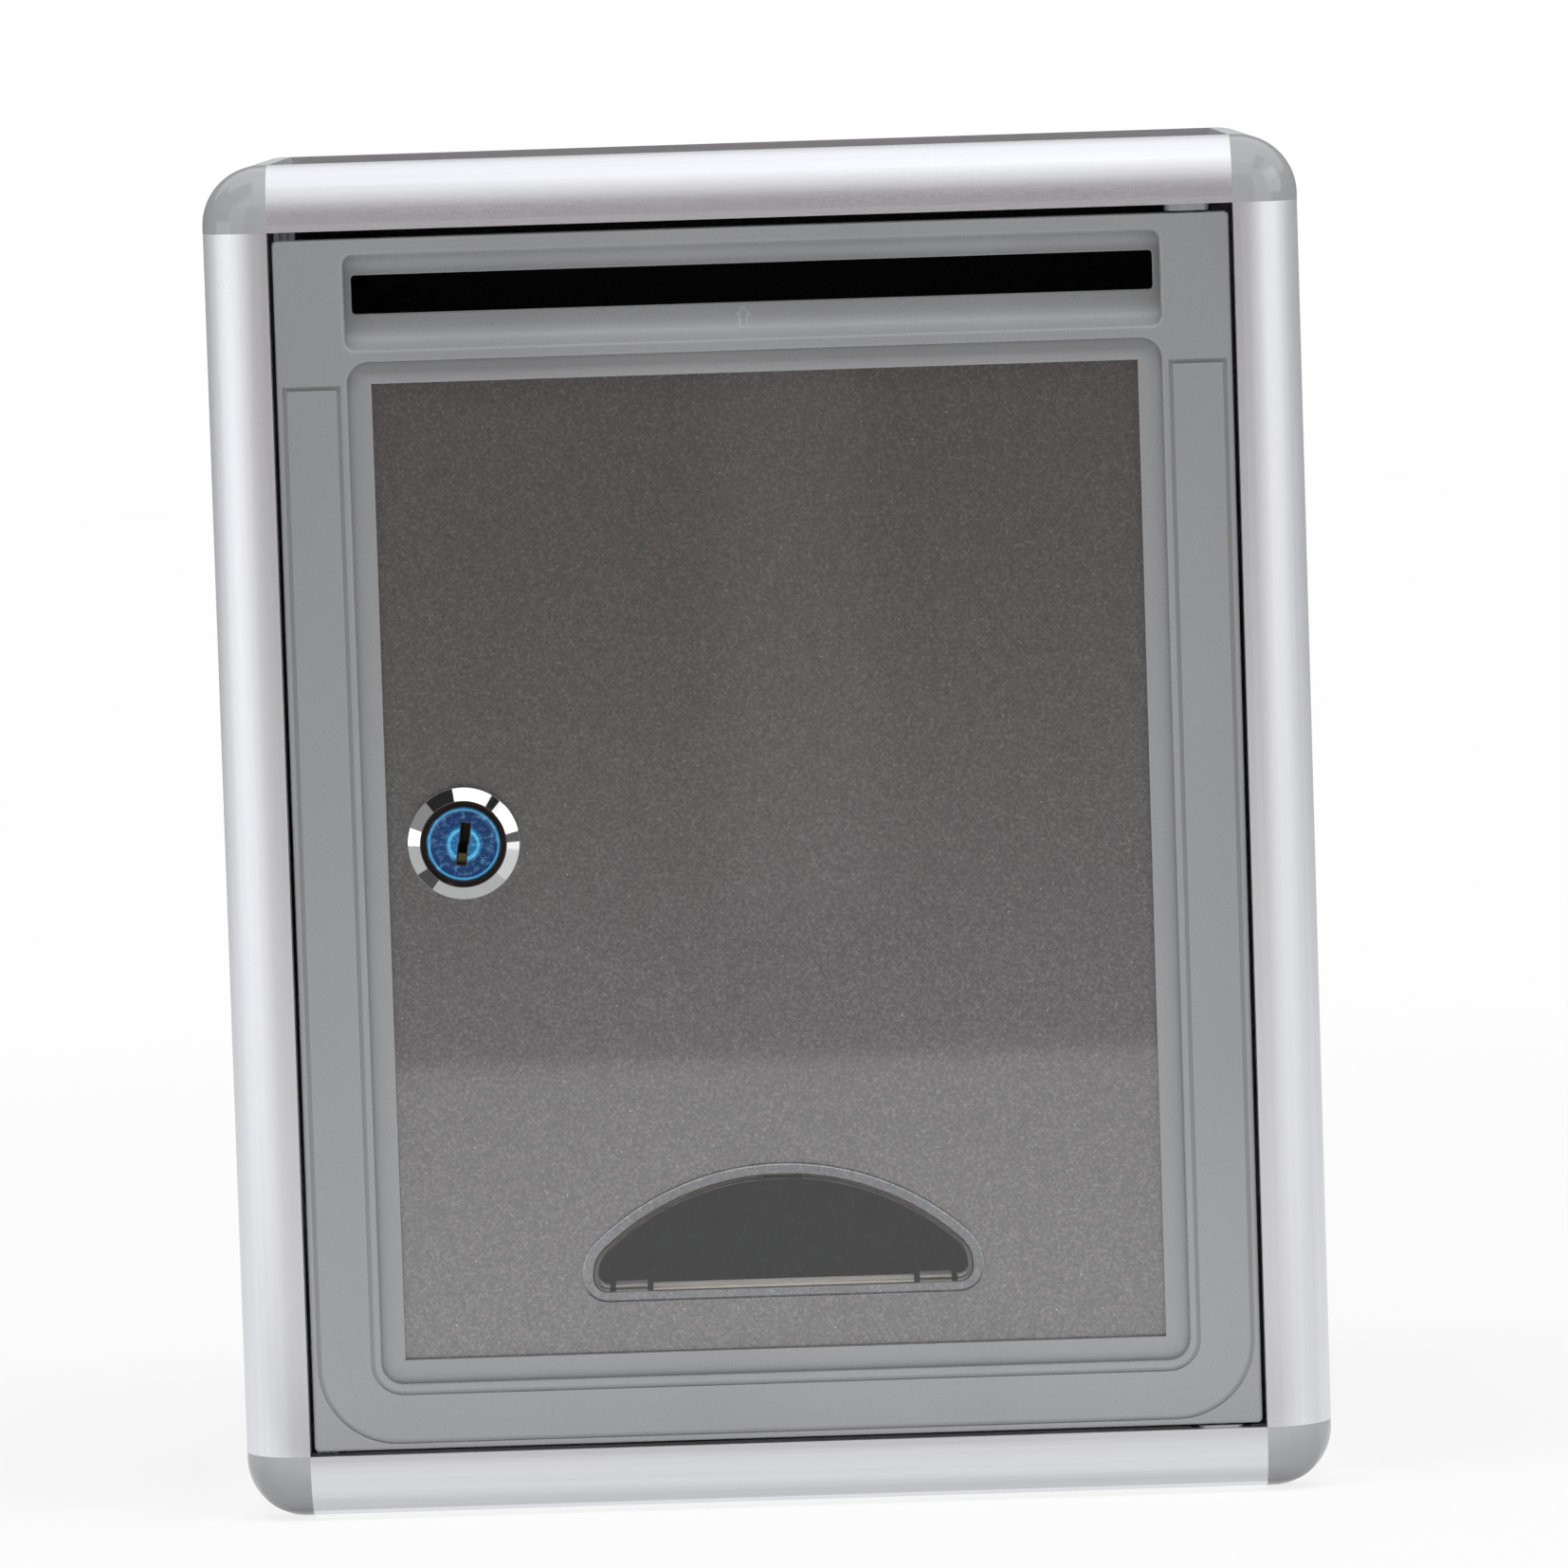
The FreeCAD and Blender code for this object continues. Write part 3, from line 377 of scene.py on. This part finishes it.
clear_acrylic, tree, skin, place = blank_finish("clear_acrylic")
haze = grain(tree, place, (120, 120, 120), 3.0)
sheet_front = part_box("door_sheet")[0].y
milky_depth = 0.0003
pane_depth = tree.nodes.new("ShaderNodeSeparateXYZ")
tree.links.new(place, pane_depth.inputs["Vector"])
milky = tree.nodes.new("ShaderNodeMapRange")
milky.inputs["From Min"].default_value = sheet_front
milky.inputs["From Max"].default_value = sheet_front + milky_depth
tree.links.new(pane_depth.outputs["Y"], milky.inputs["Value"])
polished = shades(tree, haze, [(0.30, (0.80, 0.81, 0.82)), (0.70, (0.86, 0.87, 0.88))])
milk = (0.86, 0.83, 0.78, 1.0)
tree.links.new(blend(tree, milky.outputs["Result"], polished, milk), skin.inputs["Base Color"])
clearness = tree.nodes.new("ShaderNodeMapRange")
clearness.inputs["To Min"].default_value = 1.0
clearness.inputs["To Max"].default_value = 0.05
tree.links.new(milky.outputs["Result"], clearness.inputs["Value"])
tree.links.new(clearness.outputs["Result"], skin.inputs["Transmission Weight"])
tree.links.new(between(tree, haze, 0.02, 0.06), skin.inputs["Roughness"])
skin.inputs["IOR"].default_value = 1.49
lamp_ray = tree.nodes.new("ShaderNodeLightPath")
lamp_light = tree.nodes.new("ShaderNodeBsdfTransparent")
lamp_light.inputs["Color"].default_value = (0.85, 0.85, 0.85, 1.0)
pane = tree.nodes.new("ShaderNodeMixShader")
tree.links.new(lamp_ray.outputs["Is Shadow Ray"], pane.inputs["Fac"])
tree.links.new(skin.outputs["BSDF"], pane.inputs[1])
tree.links.new(lamp_light.outputs["BSDF"], pane.inputs[2])
tree.links.new(pane.outputs["Shader"], tree.nodes["Material Output"].inputs["Surface"])
wear(clear_acrylic, "window")

# Lock housing
# A zinc die casting with a bevelled bezel in front and a barrel with two flats behind.
# The outside is polished and chromium plated, and the mouth round the plug is painted dark as painted
# shade.

film_low, film_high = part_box("lock_film")
lock_axis = (film_low + film_high) / 2


def from_axis(tree, place, unit):
    """Distance from the axis of the lock, counted in that unit."""
    centre = tree.nodes.new("ShaderNodeMapping")
    centre.inputs["Location"].default_value = (-lock_axis.x, 0.0, -lock_axis.z)
    tree.links.new(place, centre.inputs["Vector"])
    flat = tree.nodes.new("ShaderNodeVectorMath")
    flat.operation = "MULTIPLY"
    flat.inputs[1].default_value = (1 / unit, 0.0, 1 / unit)
    tree.links.new(centre.outputs["Vector"], flat.inputs[0])
    reach = tree.nodes.new("ShaderNodeVectorMath")
    reach.operation = "LENGTH"
    tree.links.new(flat.outputs["Vector"], reach.inputs[0])
    return reach.outputs["Value"]


bright_chrome, tree, skin, place = blank_finish("bright_chrome")
smear = grain(tree, place, (300, 300, 300), 3.0)
bright = shades(tree, smear, [(0.30, (0.87, 0.875, 0.88)), (0.70, (0.92, 0.925, 0.93))])
# Inside the mouth's edge the chrome is darkened: painted shade in the gap round the plug.
shaded_mouth_edge = 0.0086
mouth_painted_shade = shades(
    tree,
    from_axis(tree, place, 2 * shaded_mouth_edge),
    [(0.495, (0.16, 0.16, 0.16)), (0.505, (1.0, 1.0, 1.0))],
)
tree.links.new(blend(tree, 1.0, bright, mouth_painted_shade, "MULTIPLY"), skin.inputs["Base Color"])
skin.inputs["Metallic"].default_value = 1.0
tree.links.new(between(tree, smear, 0.03, 0.08), skin.inputs["Roughness"])
wear(bright_chrome, "lock_housing")

# Lock washer, nut, stop disc, cam and screw
# Stamped and turned steel that clamps the housing and turns behind the door.
# Zinc plated: a dull, slightly bluish silver with rolled and stamped marks.

zinc_plate, tree, skin, place = blank_finish("zinc_plate")
stamped = grain(tree, place, (500, 500, 90), 3.0)
tone = shades(tree, stamped, [(0.30, (0.52, 0.53, 0.54)), (0.70, (0.66, 0.665, 0.66))])
tree.links.new(tone, skin.inputs["Base Color"])
skin.inputs["Metallic"].default_value = 1.0
tree.links.new(between(tree, stamped, 0.24, 0.40), skin.inputs["Roughness"])
relief(tree, skin, stamped, 0.00001)
wear(zinc_plate, "lock_washer", "lock_nut", "lock_stop_disc", "lock_cam", "cam_screw")

# Lock plug and wafers
# The plug is a zinc die casting that turns in the housing, with brass wafers across its key slot.
# The casting is painted very dark, a painted shade inside the slot, and the wafers are stamped brass.

# The plug's near-black grey is painted shade for the depth of the key slot.
plug_zinc_painted_shade, tree, skin, place = blank_finish("plug_zinc_painted_shade")
pores = grain(tree, place, (1200, 1200, 1200), 3.0)
tone = shades(tree, pores, [(0.30, (0.045, 0.045, 0.042)), (0.70, (0.085, 0.085, 0.08))])
tree.links.new(tone, skin.inputs["Base Color"])
skin.inputs["Metallic"].default_value = 1.0
tree.links.new(between(tree, pores, 0.30, 0.45), skin.inputs["Roughness"])
relief(tree, skin, pores, 0.00001)
wear(plug_zinc_painted_shade, "lock_plug")

stamped_brass, tree, skin, place = blank_finish("stamped_brass")
rolled = grain(tree, place, (1500, 1500, 200), 2.0)
tone = shades(tree, rolled, [(0.30, (0.16, 0.14, 0.08)), (0.70, (0.26, 0.23, 0.13))])
tree.links.new(tone, skin.inputs["Base Color"])
skin.inputs["Metallic"].default_value = 1.0
tree.links.new(between(tree, rolled, 0.25, 0.38), skin.inputs["Roughness"])
wear(stamped_brass, "lock_wafers")

# Film on the lock
# A disc of thin blue protective film still sticks to the face of the plug, slit round the key slot.
# It is drawn over the rim and an inner ring of the plug, is finely wrinkled, and lifts at the left.

film_back = film_high.y
film_edge = (film_high.x - film_low.x) / 2
slot_tilt = math.radians(7.0)
slot_half = 0.0011
slot_tall = 0.00445
slot_step = 0.0001
film_thick = 0.00003
film_least = 0.00002
film_lift = 0.00025
lift_from = 0.0062
lift_turn = 0.25
edge_wave = 0.012
rim_ring = 0.0070
rim_high = 0.00016
rim_wide = 0.00028
key_ring = 0.0030
key_high = 0.00020
key_wide = 0.00030
fold_high = 0.000035
crease_high = 0.00002
film_turns = 160
film_rings = 22


def slot_reach(angle):
    """How far the slit reaches from the axis in that direction."""
    x = math.cos(angle + slot_tilt)
    z = math.sin(angle + slot_tilt)
    step = slot_step if z >= 0 else -slot_step
    side = slot_half + step if x >= 0 else slot_half - step
    return min(side / max(abs(x), 1e-6), slot_tall / max(abs(z), 1e-6))


def at_left(angle):
    """1 where the film lifts at the left, fading to 0 at the top and the bottom."""
    return max(0.0, -math.cos(angle - lift_turn)) ** 3


def film_height(radius, angle):
    """Height of the film above the plug's face: rings, wrinkles and the lifted edge."""
    rim = rim_high * math.exp(-(((radius - rim_ring) / rim_wide) ** 2))
    ring = key_high * math.exp(-(((radius - key_ring) / key_wide) ** 2))
    folds = math.sin(9 * angle + 2100 * radius) * math.sin(5 * angle - 1300 * radius + 1.0)
    creases = math.sin(17 * angle + 800 * radius) * math.sin(23 * angle + 0.5)
    wrinkle = fold_high * folds + crease_high * creases
    outward = max(0.0, (radius - lift_from) / (film_edge - lift_from))
    curl = film_lift * at_left(angle) * outward**2
    return film_thick + rim + ring + wrinkle + curl


film_verts = []
film_faces = []
for side in (0, 1):
    for r in range(film_rings + 1):
        for a in range(film_turns):
            angle = 2 * math.pi * a / film_turns
            start = slot_reach(angle)
            edge = film_edge * (1 + edge_wave * math.sin(13 * angle) * at_left(angle))
            radius = start + (edge - start) * r / film_rings
            height = max(film_height(radius, angle), film_least) if side == 0 else 0.0
            x = lock_axis.x + radius * math.cos(angle)
            z = lock_axis.z + radius * math.sin(angle)
            film_verts.append((x, film_back - height, z))
layer = (film_rings + 1) * film_turns
for r in range(film_rings):
    for a in range(film_turns):
        b = (a + 1) % film_turns
        low = r * film_turns
        high = low + film_turns
        film_faces.append((low + a, low + b, high + b, high + a))
        film_faces.append((layer + low + a, layer + high + a, layer + high + b, layer + low + b))
for a in range(film_turns):
    b = (a + 1) % film_turns
    film_faces.append((b, a, layer + a, layer + b))
    top = film_rings * film_turns
    film_faces.append((top + a, top + b, layer + top + b, layer + top + a))
film_mesh = bpy.data.meshes.new("blue_film_disc")
film_mesh.from_pydata(film_verts, [], film_faces)
film_mesh.update()
for polygon in film_mesh.polygons:
    polygon.use_smooth = True
blue_disc = bpy.data.objects.new("blue_film_disc", film_mesh)
bpy.context.scene.collection.objects.link(blue_disc)

# The film's blue carries painted light: cyan painted highlights on the raised rim and inner ring, and
# painted glints over its wrinkles.
blue_film, tree, skin, place = blank_finish("blue_film")
navy = (0.010, 0.050, 0.165)
mid_blue = (0.012, 0.15, 0.36)
cyan_highlight = (0.08, 0.48, 0.78)
film_tone_and_highlights = shades(
    tree,
    from_axis(tree, place, film_edge),
    [
        (0.34, mid_blue),
        (0.38, cyan_highlight),
        (0.42, cyan_highlight),
        (0.46, mid_blue),
        (0.54, navy),
        (0.895, navy),
        (0.92, mid_blue),
        (0.945, cyan_highlight),
        (0.975, mid_blue),
    ],
)
crumple = grain(tree, place, (900, 900, 900), 4.0)
painted_glints = shades(tree, crumple, [(0.52, (0.0, 0.0, 0.0)), (0.72, (0.10, 0.30, 0.42))])
glint_share = 0.55
tree.links.new(blend(tree, glint_share, film_tone_and_highlights, painted_glints, "ADD"), skin.inputs["Base Color"])
skin.inputs["Metallic"].default_value = 0.25
tree.links.new(between(tree, crumple, 0.12, 0.24), skin.inputs["Roughness"])
skin.inputs["Coat Weight"].default_value = 0.6
skin.inputs["Coat Roughness"].default_value = 0.06
relief(tree, skin, crumple, 0.00006)
blue_disc.data.materials.append(blue_film)
wear(blue_film, "lock_film")
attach(blue_disc, "lock")
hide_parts("lock_film")

# Thread of the lock barrel
# The barrel is threaded for its nut, and the thread shows behind the nut when the door is open.
# It is cut in the plated casting and runs out at the two flats.

barrel_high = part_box("lock_housing")[1]
nut_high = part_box("lock_nut")[1]
thread_root = 0.00930
thread_high = 0.00022
thread_pitch = 0.0010
flat_half = 0.0080
nut_gap = 0.0003
end_gap = 0.0004
thread_from = nut_high.y + nut_gap
thread_to = barrel_high.y - end_gap
thread_sink = 0.0003
foot_half = 0.38 * thread_pitch
crest_half = 0.07 * thread_pitch
runout = 6
arc_start = math.acos(flat_half / thread_root)
arc_steps = 20
thread_verts = []
thread_faces = []
turn_count = int((thread_to - thread_from) / thread_pitch)
for turn in range(turn_count):
    for half in (0, 1):
        first = len(thread_verts)
        for s in range(arc_steps + 1):
            t = s / arc_steps
            angle = arc_start + (math.pi - 2 * arc_start) * t + math.pi * half
            y = thread_from + thread_pitch * (turn + angle / (2 * math.pi))
            fade = min(1.0, runout * min(t, 1 - t))
            tip = thread_root + thread_high * fade
            foot = thread_root - thread_sink
            for radius, along in (
                (foot, -foot_half),
                (tip, -crest_half),
                (tip, crest_half),
                (foot, foot_half),
            ):
                x = lock_axis.x + radius * math.cos(angle)
                z = lock_axis.z + radius * math.sin(angle)
                thread_verts.append((x, y + along, z))
        for s in range(arc_steps):
            a = first + 4 * s
            b = a + 4
            for k in range(3):
                thread_faces.append((a + k, a + k + 1, b + k + 1, b + k))
            thread_faces.append((a + 3, a, b, b + 3))
        last = first + 4 * arc_steps
        thread_faces.append((first + 3, first + 2, first + 1, first))
        thread_faces.append((last, last + 1, last + 2, last + 3))
thread_mesh = bpy.data.meshes.new("barrel_thread")
thread_mesh.from_pydata(thread_verts, [], thread_faces)
thread_mesh.update()
barrel_thread = bpy.data.objects.new("barrel_thread", thread_mesh)
bpy.context.scene.collection.objects.link(barrel_thread)
barrel_thread.data.materials.append(bright_chrome)
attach(barrel_thread, "door")

# Table
# The box stands on a plain white table top that ends in front of it, with a darker room beyond.
# It keeps the box's shadow, turns plain white far away, and metal and glass show the same white.


def plain_sheet(name, corners_at):
    """One flat four-cornered sheet of the stage."""
    mesh = bpy.data.meshes.new(name)
    mesh.from_pydata(corners_at, [], [(0, 1, 2, 3)])
    mesh.update()
    sheet = bpy.data.objects.new(name, mesh)
    bpy.context.scene.collection.objects.link(sheet)
    return sheet


def seen_directly(tree):
    """1 for rays of the camera, of mirrors and of clear pieces, 0 for the rest."""
    path = tree.nodes.new("ShaderNodeLightPath")
    first = tree.nodes.new("ShaderNodeMath")
    first.operation = "MAXIMUM"
    second = tree.nodes.new("ShaderNodeMath")
    second.operation = "MAXIMUM"
    tree.links.new(path.outputs["Is Camera Ray"], first.inputs[0])
    tree.links.new(path.outputs["Is Glossy Ray"], first.inputs[1])
    tree.links.new(first.outputs["Value"], second.inputs[0])
    tree.links.new(path.outputs["Is Transmission Ray"], second.inputs[1])
    return second.outputs["Value"]


table_front = -0.905
table_back = 4.0
table_side = 3.0
table = plain_sheet(
    "table",
    [
        (-table_side, table_front, 0.0),
        (table_side, table_front, 0.0),
        (table_side, table_back, 0.0),
        (-table_side, table_back, 0.0),
    ],
)
table_white = bpy.data.materials.new("table_white")
table_white.use_nodes = True
tree = table_white.node_tree
tree.nodes.clear()
table_output = tree.nodes.new("ShaderNodeOutputMaterial")
table_matt = tree.nodes.new("ShaderNodeBsdfDiffuse")
table_matt.inputs["Color"].default_value = (0.88, 0.88, 0.88, 1.0)
table_glow = tree.nodes.new("ShaderNodeEmission")
table_glow.inputs["Strength"].default_value = 1.0
table_far = tree.nodes.new("ShaderNodeVectorMath")
table_far.operation = "LENGTH"
tree.links.new(tree.nodes.new("ShaderNodeTexCoord").outputs["Object"], table_far.inputs[0])
table_fade = shades(
    tree,
    table_far.outputs["Value"],
    [(0.10, (0.80, 0.80, 0.80)), (0.40, (0.90, 0.90, 0.90)), (1.0, (0.98, 0.98, 0.98))],
)
table_share = tree.nodes.new("ShaderNodeMath")
table_share.operation = "MULTIPLY"
tree.links.new(seen_directly(tree), table_share.inputs[0])
tree.links.new(table_fade, table_share.inputs[1])
table_mix = tree.nodes.new("ShaderNodeMixShader")
tree.links.new(table_share.outputs["Value"], table_mix.inputs["Fac"])
tree.links.new(table_matt.outputs["BSDF"], table_mix.inputs[1])
tree.links.new(table_glow.outputs["Emission"], table_mix.inputs[2])
tree.links.new(table_mix.outputs["Shader"], table_output.inputs["Surface"])
table.data.materials.append(table_white)

# Dark room
# The side of the room behind the camera is dark, and only shiny and clear pieces show it.
# It is a card far in front with a paler strip up its middle, a grey curtain round the sides
# and back, grey cards laid low in front of the box, and two dark flags overhead.


def dark_card(name, corners_at, colour):
    """A card of one even colour that shows only in shiny and clear pieces."""
    card = plain_sheet(name, corners_at)
    paint = bpy.data.materials.new(name)
    paint.use_nodes = True
    paint_tree = paint.node_tree
    paint_tree.nodes.clear()
    paint_output = paint_tree.nodes.new("ShaderNodeOutputMaterial")
    paint_glow = paint_tree.nodes.new("ShaderNodeEmission")
    paint_glow.inputs["Color"].default_value = (*colour, 1.0)
    paint_tree.links.new(paint_glow.outputs["Emission"], paint_output.inputs["Surface"])
    card.data.materials.append(paint)
    card.visible_camera = False
    card.visible_diffuse = False
    card.visible_shadow = False
    return card


room_y = -2.6
room_side = 1.7
room_low = -1.0
room_high = 2.4
dark_card(
    "room_dark",
    [
        (-room_side, room_y, room_low),
        (room_side, room_y, room_low),
        (room_side, room_y, room_high),
        (-room_side, room_y, room_high),
    ],
    (0.114, 0.088, 0.084),
)
strip_y = room_y + 0.01
strip_left = -0.034
strip_right = 0.035
strip_low = -0.115
dark_card(
    "room_strip",
    [
        (strip_left, strip_y, strip_low),
        (strip_right, strip_y, strip_low),
        (strip_right, strip_y, room_high),
        (strip_left, strip_y, room_high),
    ],
    (0.30, 0.27, 0.265),
)
# Each length of curtain: its name, where it starts and ends, its low and high edge, its grey.
curtain = (
    ("curtain_left_front", (-1.7, -2.6), (-1.7, -0.75), 0.0, 0.9, 1.05),
    ("curtain_left", (-1.7, -0.75), (-1.5, 0.9), 0.0, 0.5, 0.42),
    ("curtain_left_high", (-1.7, -0.75), (-1.5, 0.9), 0.5, 1.8, 0.26),
    ("curtain_back", (-1.5, 0.9), (1.5, 0.9), 0.0, 0.9, 0.25),
    ("curtain_right", (1.5, 0.9), (1.7, -0.75), 0.0, 0.9, 0.12),
    ("curtain_right_front", (1.7, -0.75), (1.7, -2.6), 0.0, 0.9, 1.05),
)
for card_name, (x0, y0), (x1, y1), low, high, level in curtain:
    dark_card(
        card_name,
        [(x0, y0, low), (x1, y1, low), (x1, y1, high), (x0, y0, high)],
        (level, level, level),
    )
# Two cards on the table, under and just before the front rail, which shows them.
wide_x = 0.6
wide_z = 0.0015
for card_name, wide_far, wide_near, level in (
    ("low_wide", -0.10, -0.058, 0.76),
    ("low_edge", -0.058, -0.046, 0.60),
):
    dark_card(
        card_name,
        [
            (-wide_x, wide_far, wide_z),
            (wide_x, wide_far, wide_z),
            (wide_x, wide_near, wide_z),
            (-wide_x, wide_near, wide_z),
        ],
        (level, level, level),
    )
# Four cards side by side just above the table, which the rim of the lock shows.
# They grow deeper away from the lock on both sides.
low_cards = (
    ("low_left", -1.50, -0.240, 0.46),
    ("low_dark", -0.240, -0.150, 0.08),
    ("low_middle", -0.150, 0.054, 0.46),
    ("low_right", 0.054, 1.50, 0.64),
)
low_z = 0.010
far_y = -0.0868
far_slope = 0.22
near_y = -0.067
near_slope = 0.06
for card_name, x0, x1, level in low_cards:
    card_corners = []
    for card_x in (x0, x1):
        card_corners.append((card_x, far_y - far_slope * abs(card_x - lock_axis.x), low_z))
    for card_x in (x1, x0):
        card_corners.append((card_x, near_y - near_slope * abs(card_x - lock_axis.x), low_z))
    dark_card(card_name, card_corners, (level, level, level))
# Two flags, turned about the lock by degrees from straight up.
flag_reach = 0.9
flag_front = -0.42
flag_back = 0.02
flag_black = (0.02, 0.02, 0.02)
for card_name, turn_from, turn_to in (("flag_left", -46.0, -13.0), ("flag_right", 33.0, 44.0)):
    card_corners = []
    for degrees, card_y in (
        (turn_from, flag_front),
        (turn_to, flag_front),
        (turn_to, flag_back),
        (turn_from, flag_back),
    ):
        bearing = math.radians(degrees)
        card_x = lock_axis.x + flag_reach * math.sin(bearing)
        card_z = lock_axis.z + flag_reach * math.cos(bearing)
        card_corners.append((card_x, card_y, card_z))
    dark_card(card_name, card_corners, flag_black)

# Light
# A soft box in front, one overhead, one at each side, a wide strip overhead and light from the table.
# The white surround shows in shiny pieces and lights matt ones gently.


def area_lamp(name, wide, high, watts, place, aim, mirrored):
    """A rectangle of light that faces a point, and shows in shiny pieces where mirrored is true."""
    lamp = bpy.data.lights.new(name, "AREA")
    lamp.shape = "RECTANGLE"
    lamp.size = wide
    lamp.size_y = high
    lamp.energy = watts
    holder = bpy.data.objects.new(name, lamp)
    bpy.context.scene.collection.objects.link(holder)
    holder.visible_camera = False
    holder.visible_glossy = mirrored
    holder.location = place
    facing = Vector(aim) - Vector(place)
    holder.rotation_euler = facing.to_track_quat("-Z", "Y").to_euler()


area_lamp("soft_box", 1.2, 0.5, 2.8, (0.0, -1.60, 0.80), (0.0, -0.06, 0.16), False)
area_lamp("top_box", 1.6, 0.35, 13.0, (0.0, -0.46, 1.45), (0.0, -0.06, 0.20), False)
area_lamp("side_box_left", 0.8, 0.42, 1.42, (-1.4, -0.30, 0.22), (0.0, -0.06, 0.14), True)
area_lamp("side_box_right", 0.8, 0.9, 3.75, (1.4, -0.30, 0.75), (0.0, -0.06, 0.14), True)
area_lamp("over_strip", 1.8, 0.7, 1.3, (0.0, -0.15, 1.30), (0.0, -0.05, 0.27), True)
area_lamp("table_bounce", 0.6, 0.26, 0.48, (0.0, -0.20, 0.002), (0.0, -0.21, 1.0), False)

world = bpy.data.worlds.new("white_surround")
bpy.context.scene.world = world
world.use_nodes = True
tree = world.node_tree
tree.nodes.clear()
world_output = tree.nodes.new("ShaderNodeOutputWorld")
world_seen = tree.nodes.new("ShaderNodeBackground")
world_seen.inputs["Color"].default_value = (1.0, 1.0, 1.0, 1.0)
world_seen.inputs["Strength"].default_value = 1.0
world_light = tree.nodes.new("ShaderNodeBackground")
world_light.inputs["Color"].default_value = (1.0, 1.0, 1.0, 1.0)
world_light.inputs["Strength"].default_value = 0.34
world_mix = tree.nodes.new("ShaderNodeMixShader")
tree.links.new(seen_directly(tree), world_mix.inputs["Fac"])
tree.links.new(world_light.outputs["Background"], world_mix.inputs[1])
tree.links.new(world_seen.outputs["Background"], world_mix.inputs[2])
tree.links.new(world_mix.outputs["Shader"], world_output.inputs["Surface"])

# Camera
# A long lens two metres in front, a little above the top of the box.
# It is rolled as the photograph is, and has no shift and no blur.

camera_place = Vector((0.0117, -2.060, 0.306))
camera_yaw = math.radians(-0.241)
camera_pitch = math.radians(-4.557)
camera_roll = math.radians(-1.841)
forward = Vector(
    (
        math.sin(camera_yaw) * math.cos(camera_pitch),
        math.cos(camera_yaw) * math.cos(camera_pitch),
        math.sin(camera_pitch),
    )
)
level_right = Vector((math.cos(camera_yaw), -math.sin(camera_yaw), 0.0))
level_up = level_right.cross(forward)
right = math.cos(camera_roll) * level_right + math.sin(camera_roll) * level_up
up = right.cross(forward)
camera_data = bpy.data.cameras.new("camera")
camera_data.sensor_width = 36.0
camera_data.lens = 229.55
camera_data.clip_end = 50.0
camera = bpy.data.objects.new("camera", camera_data)
bpy.context.scene.collection.objects.link(camera)
turn = Matrix((right, up, -forward)).transposed()
camera.matrix_world = Matrix.Translation(camera_place) @ turn.to_4x4()
bpy.context.scene.camera = camera
bpy.context.scene.view_settings.view_transform = "Standard"
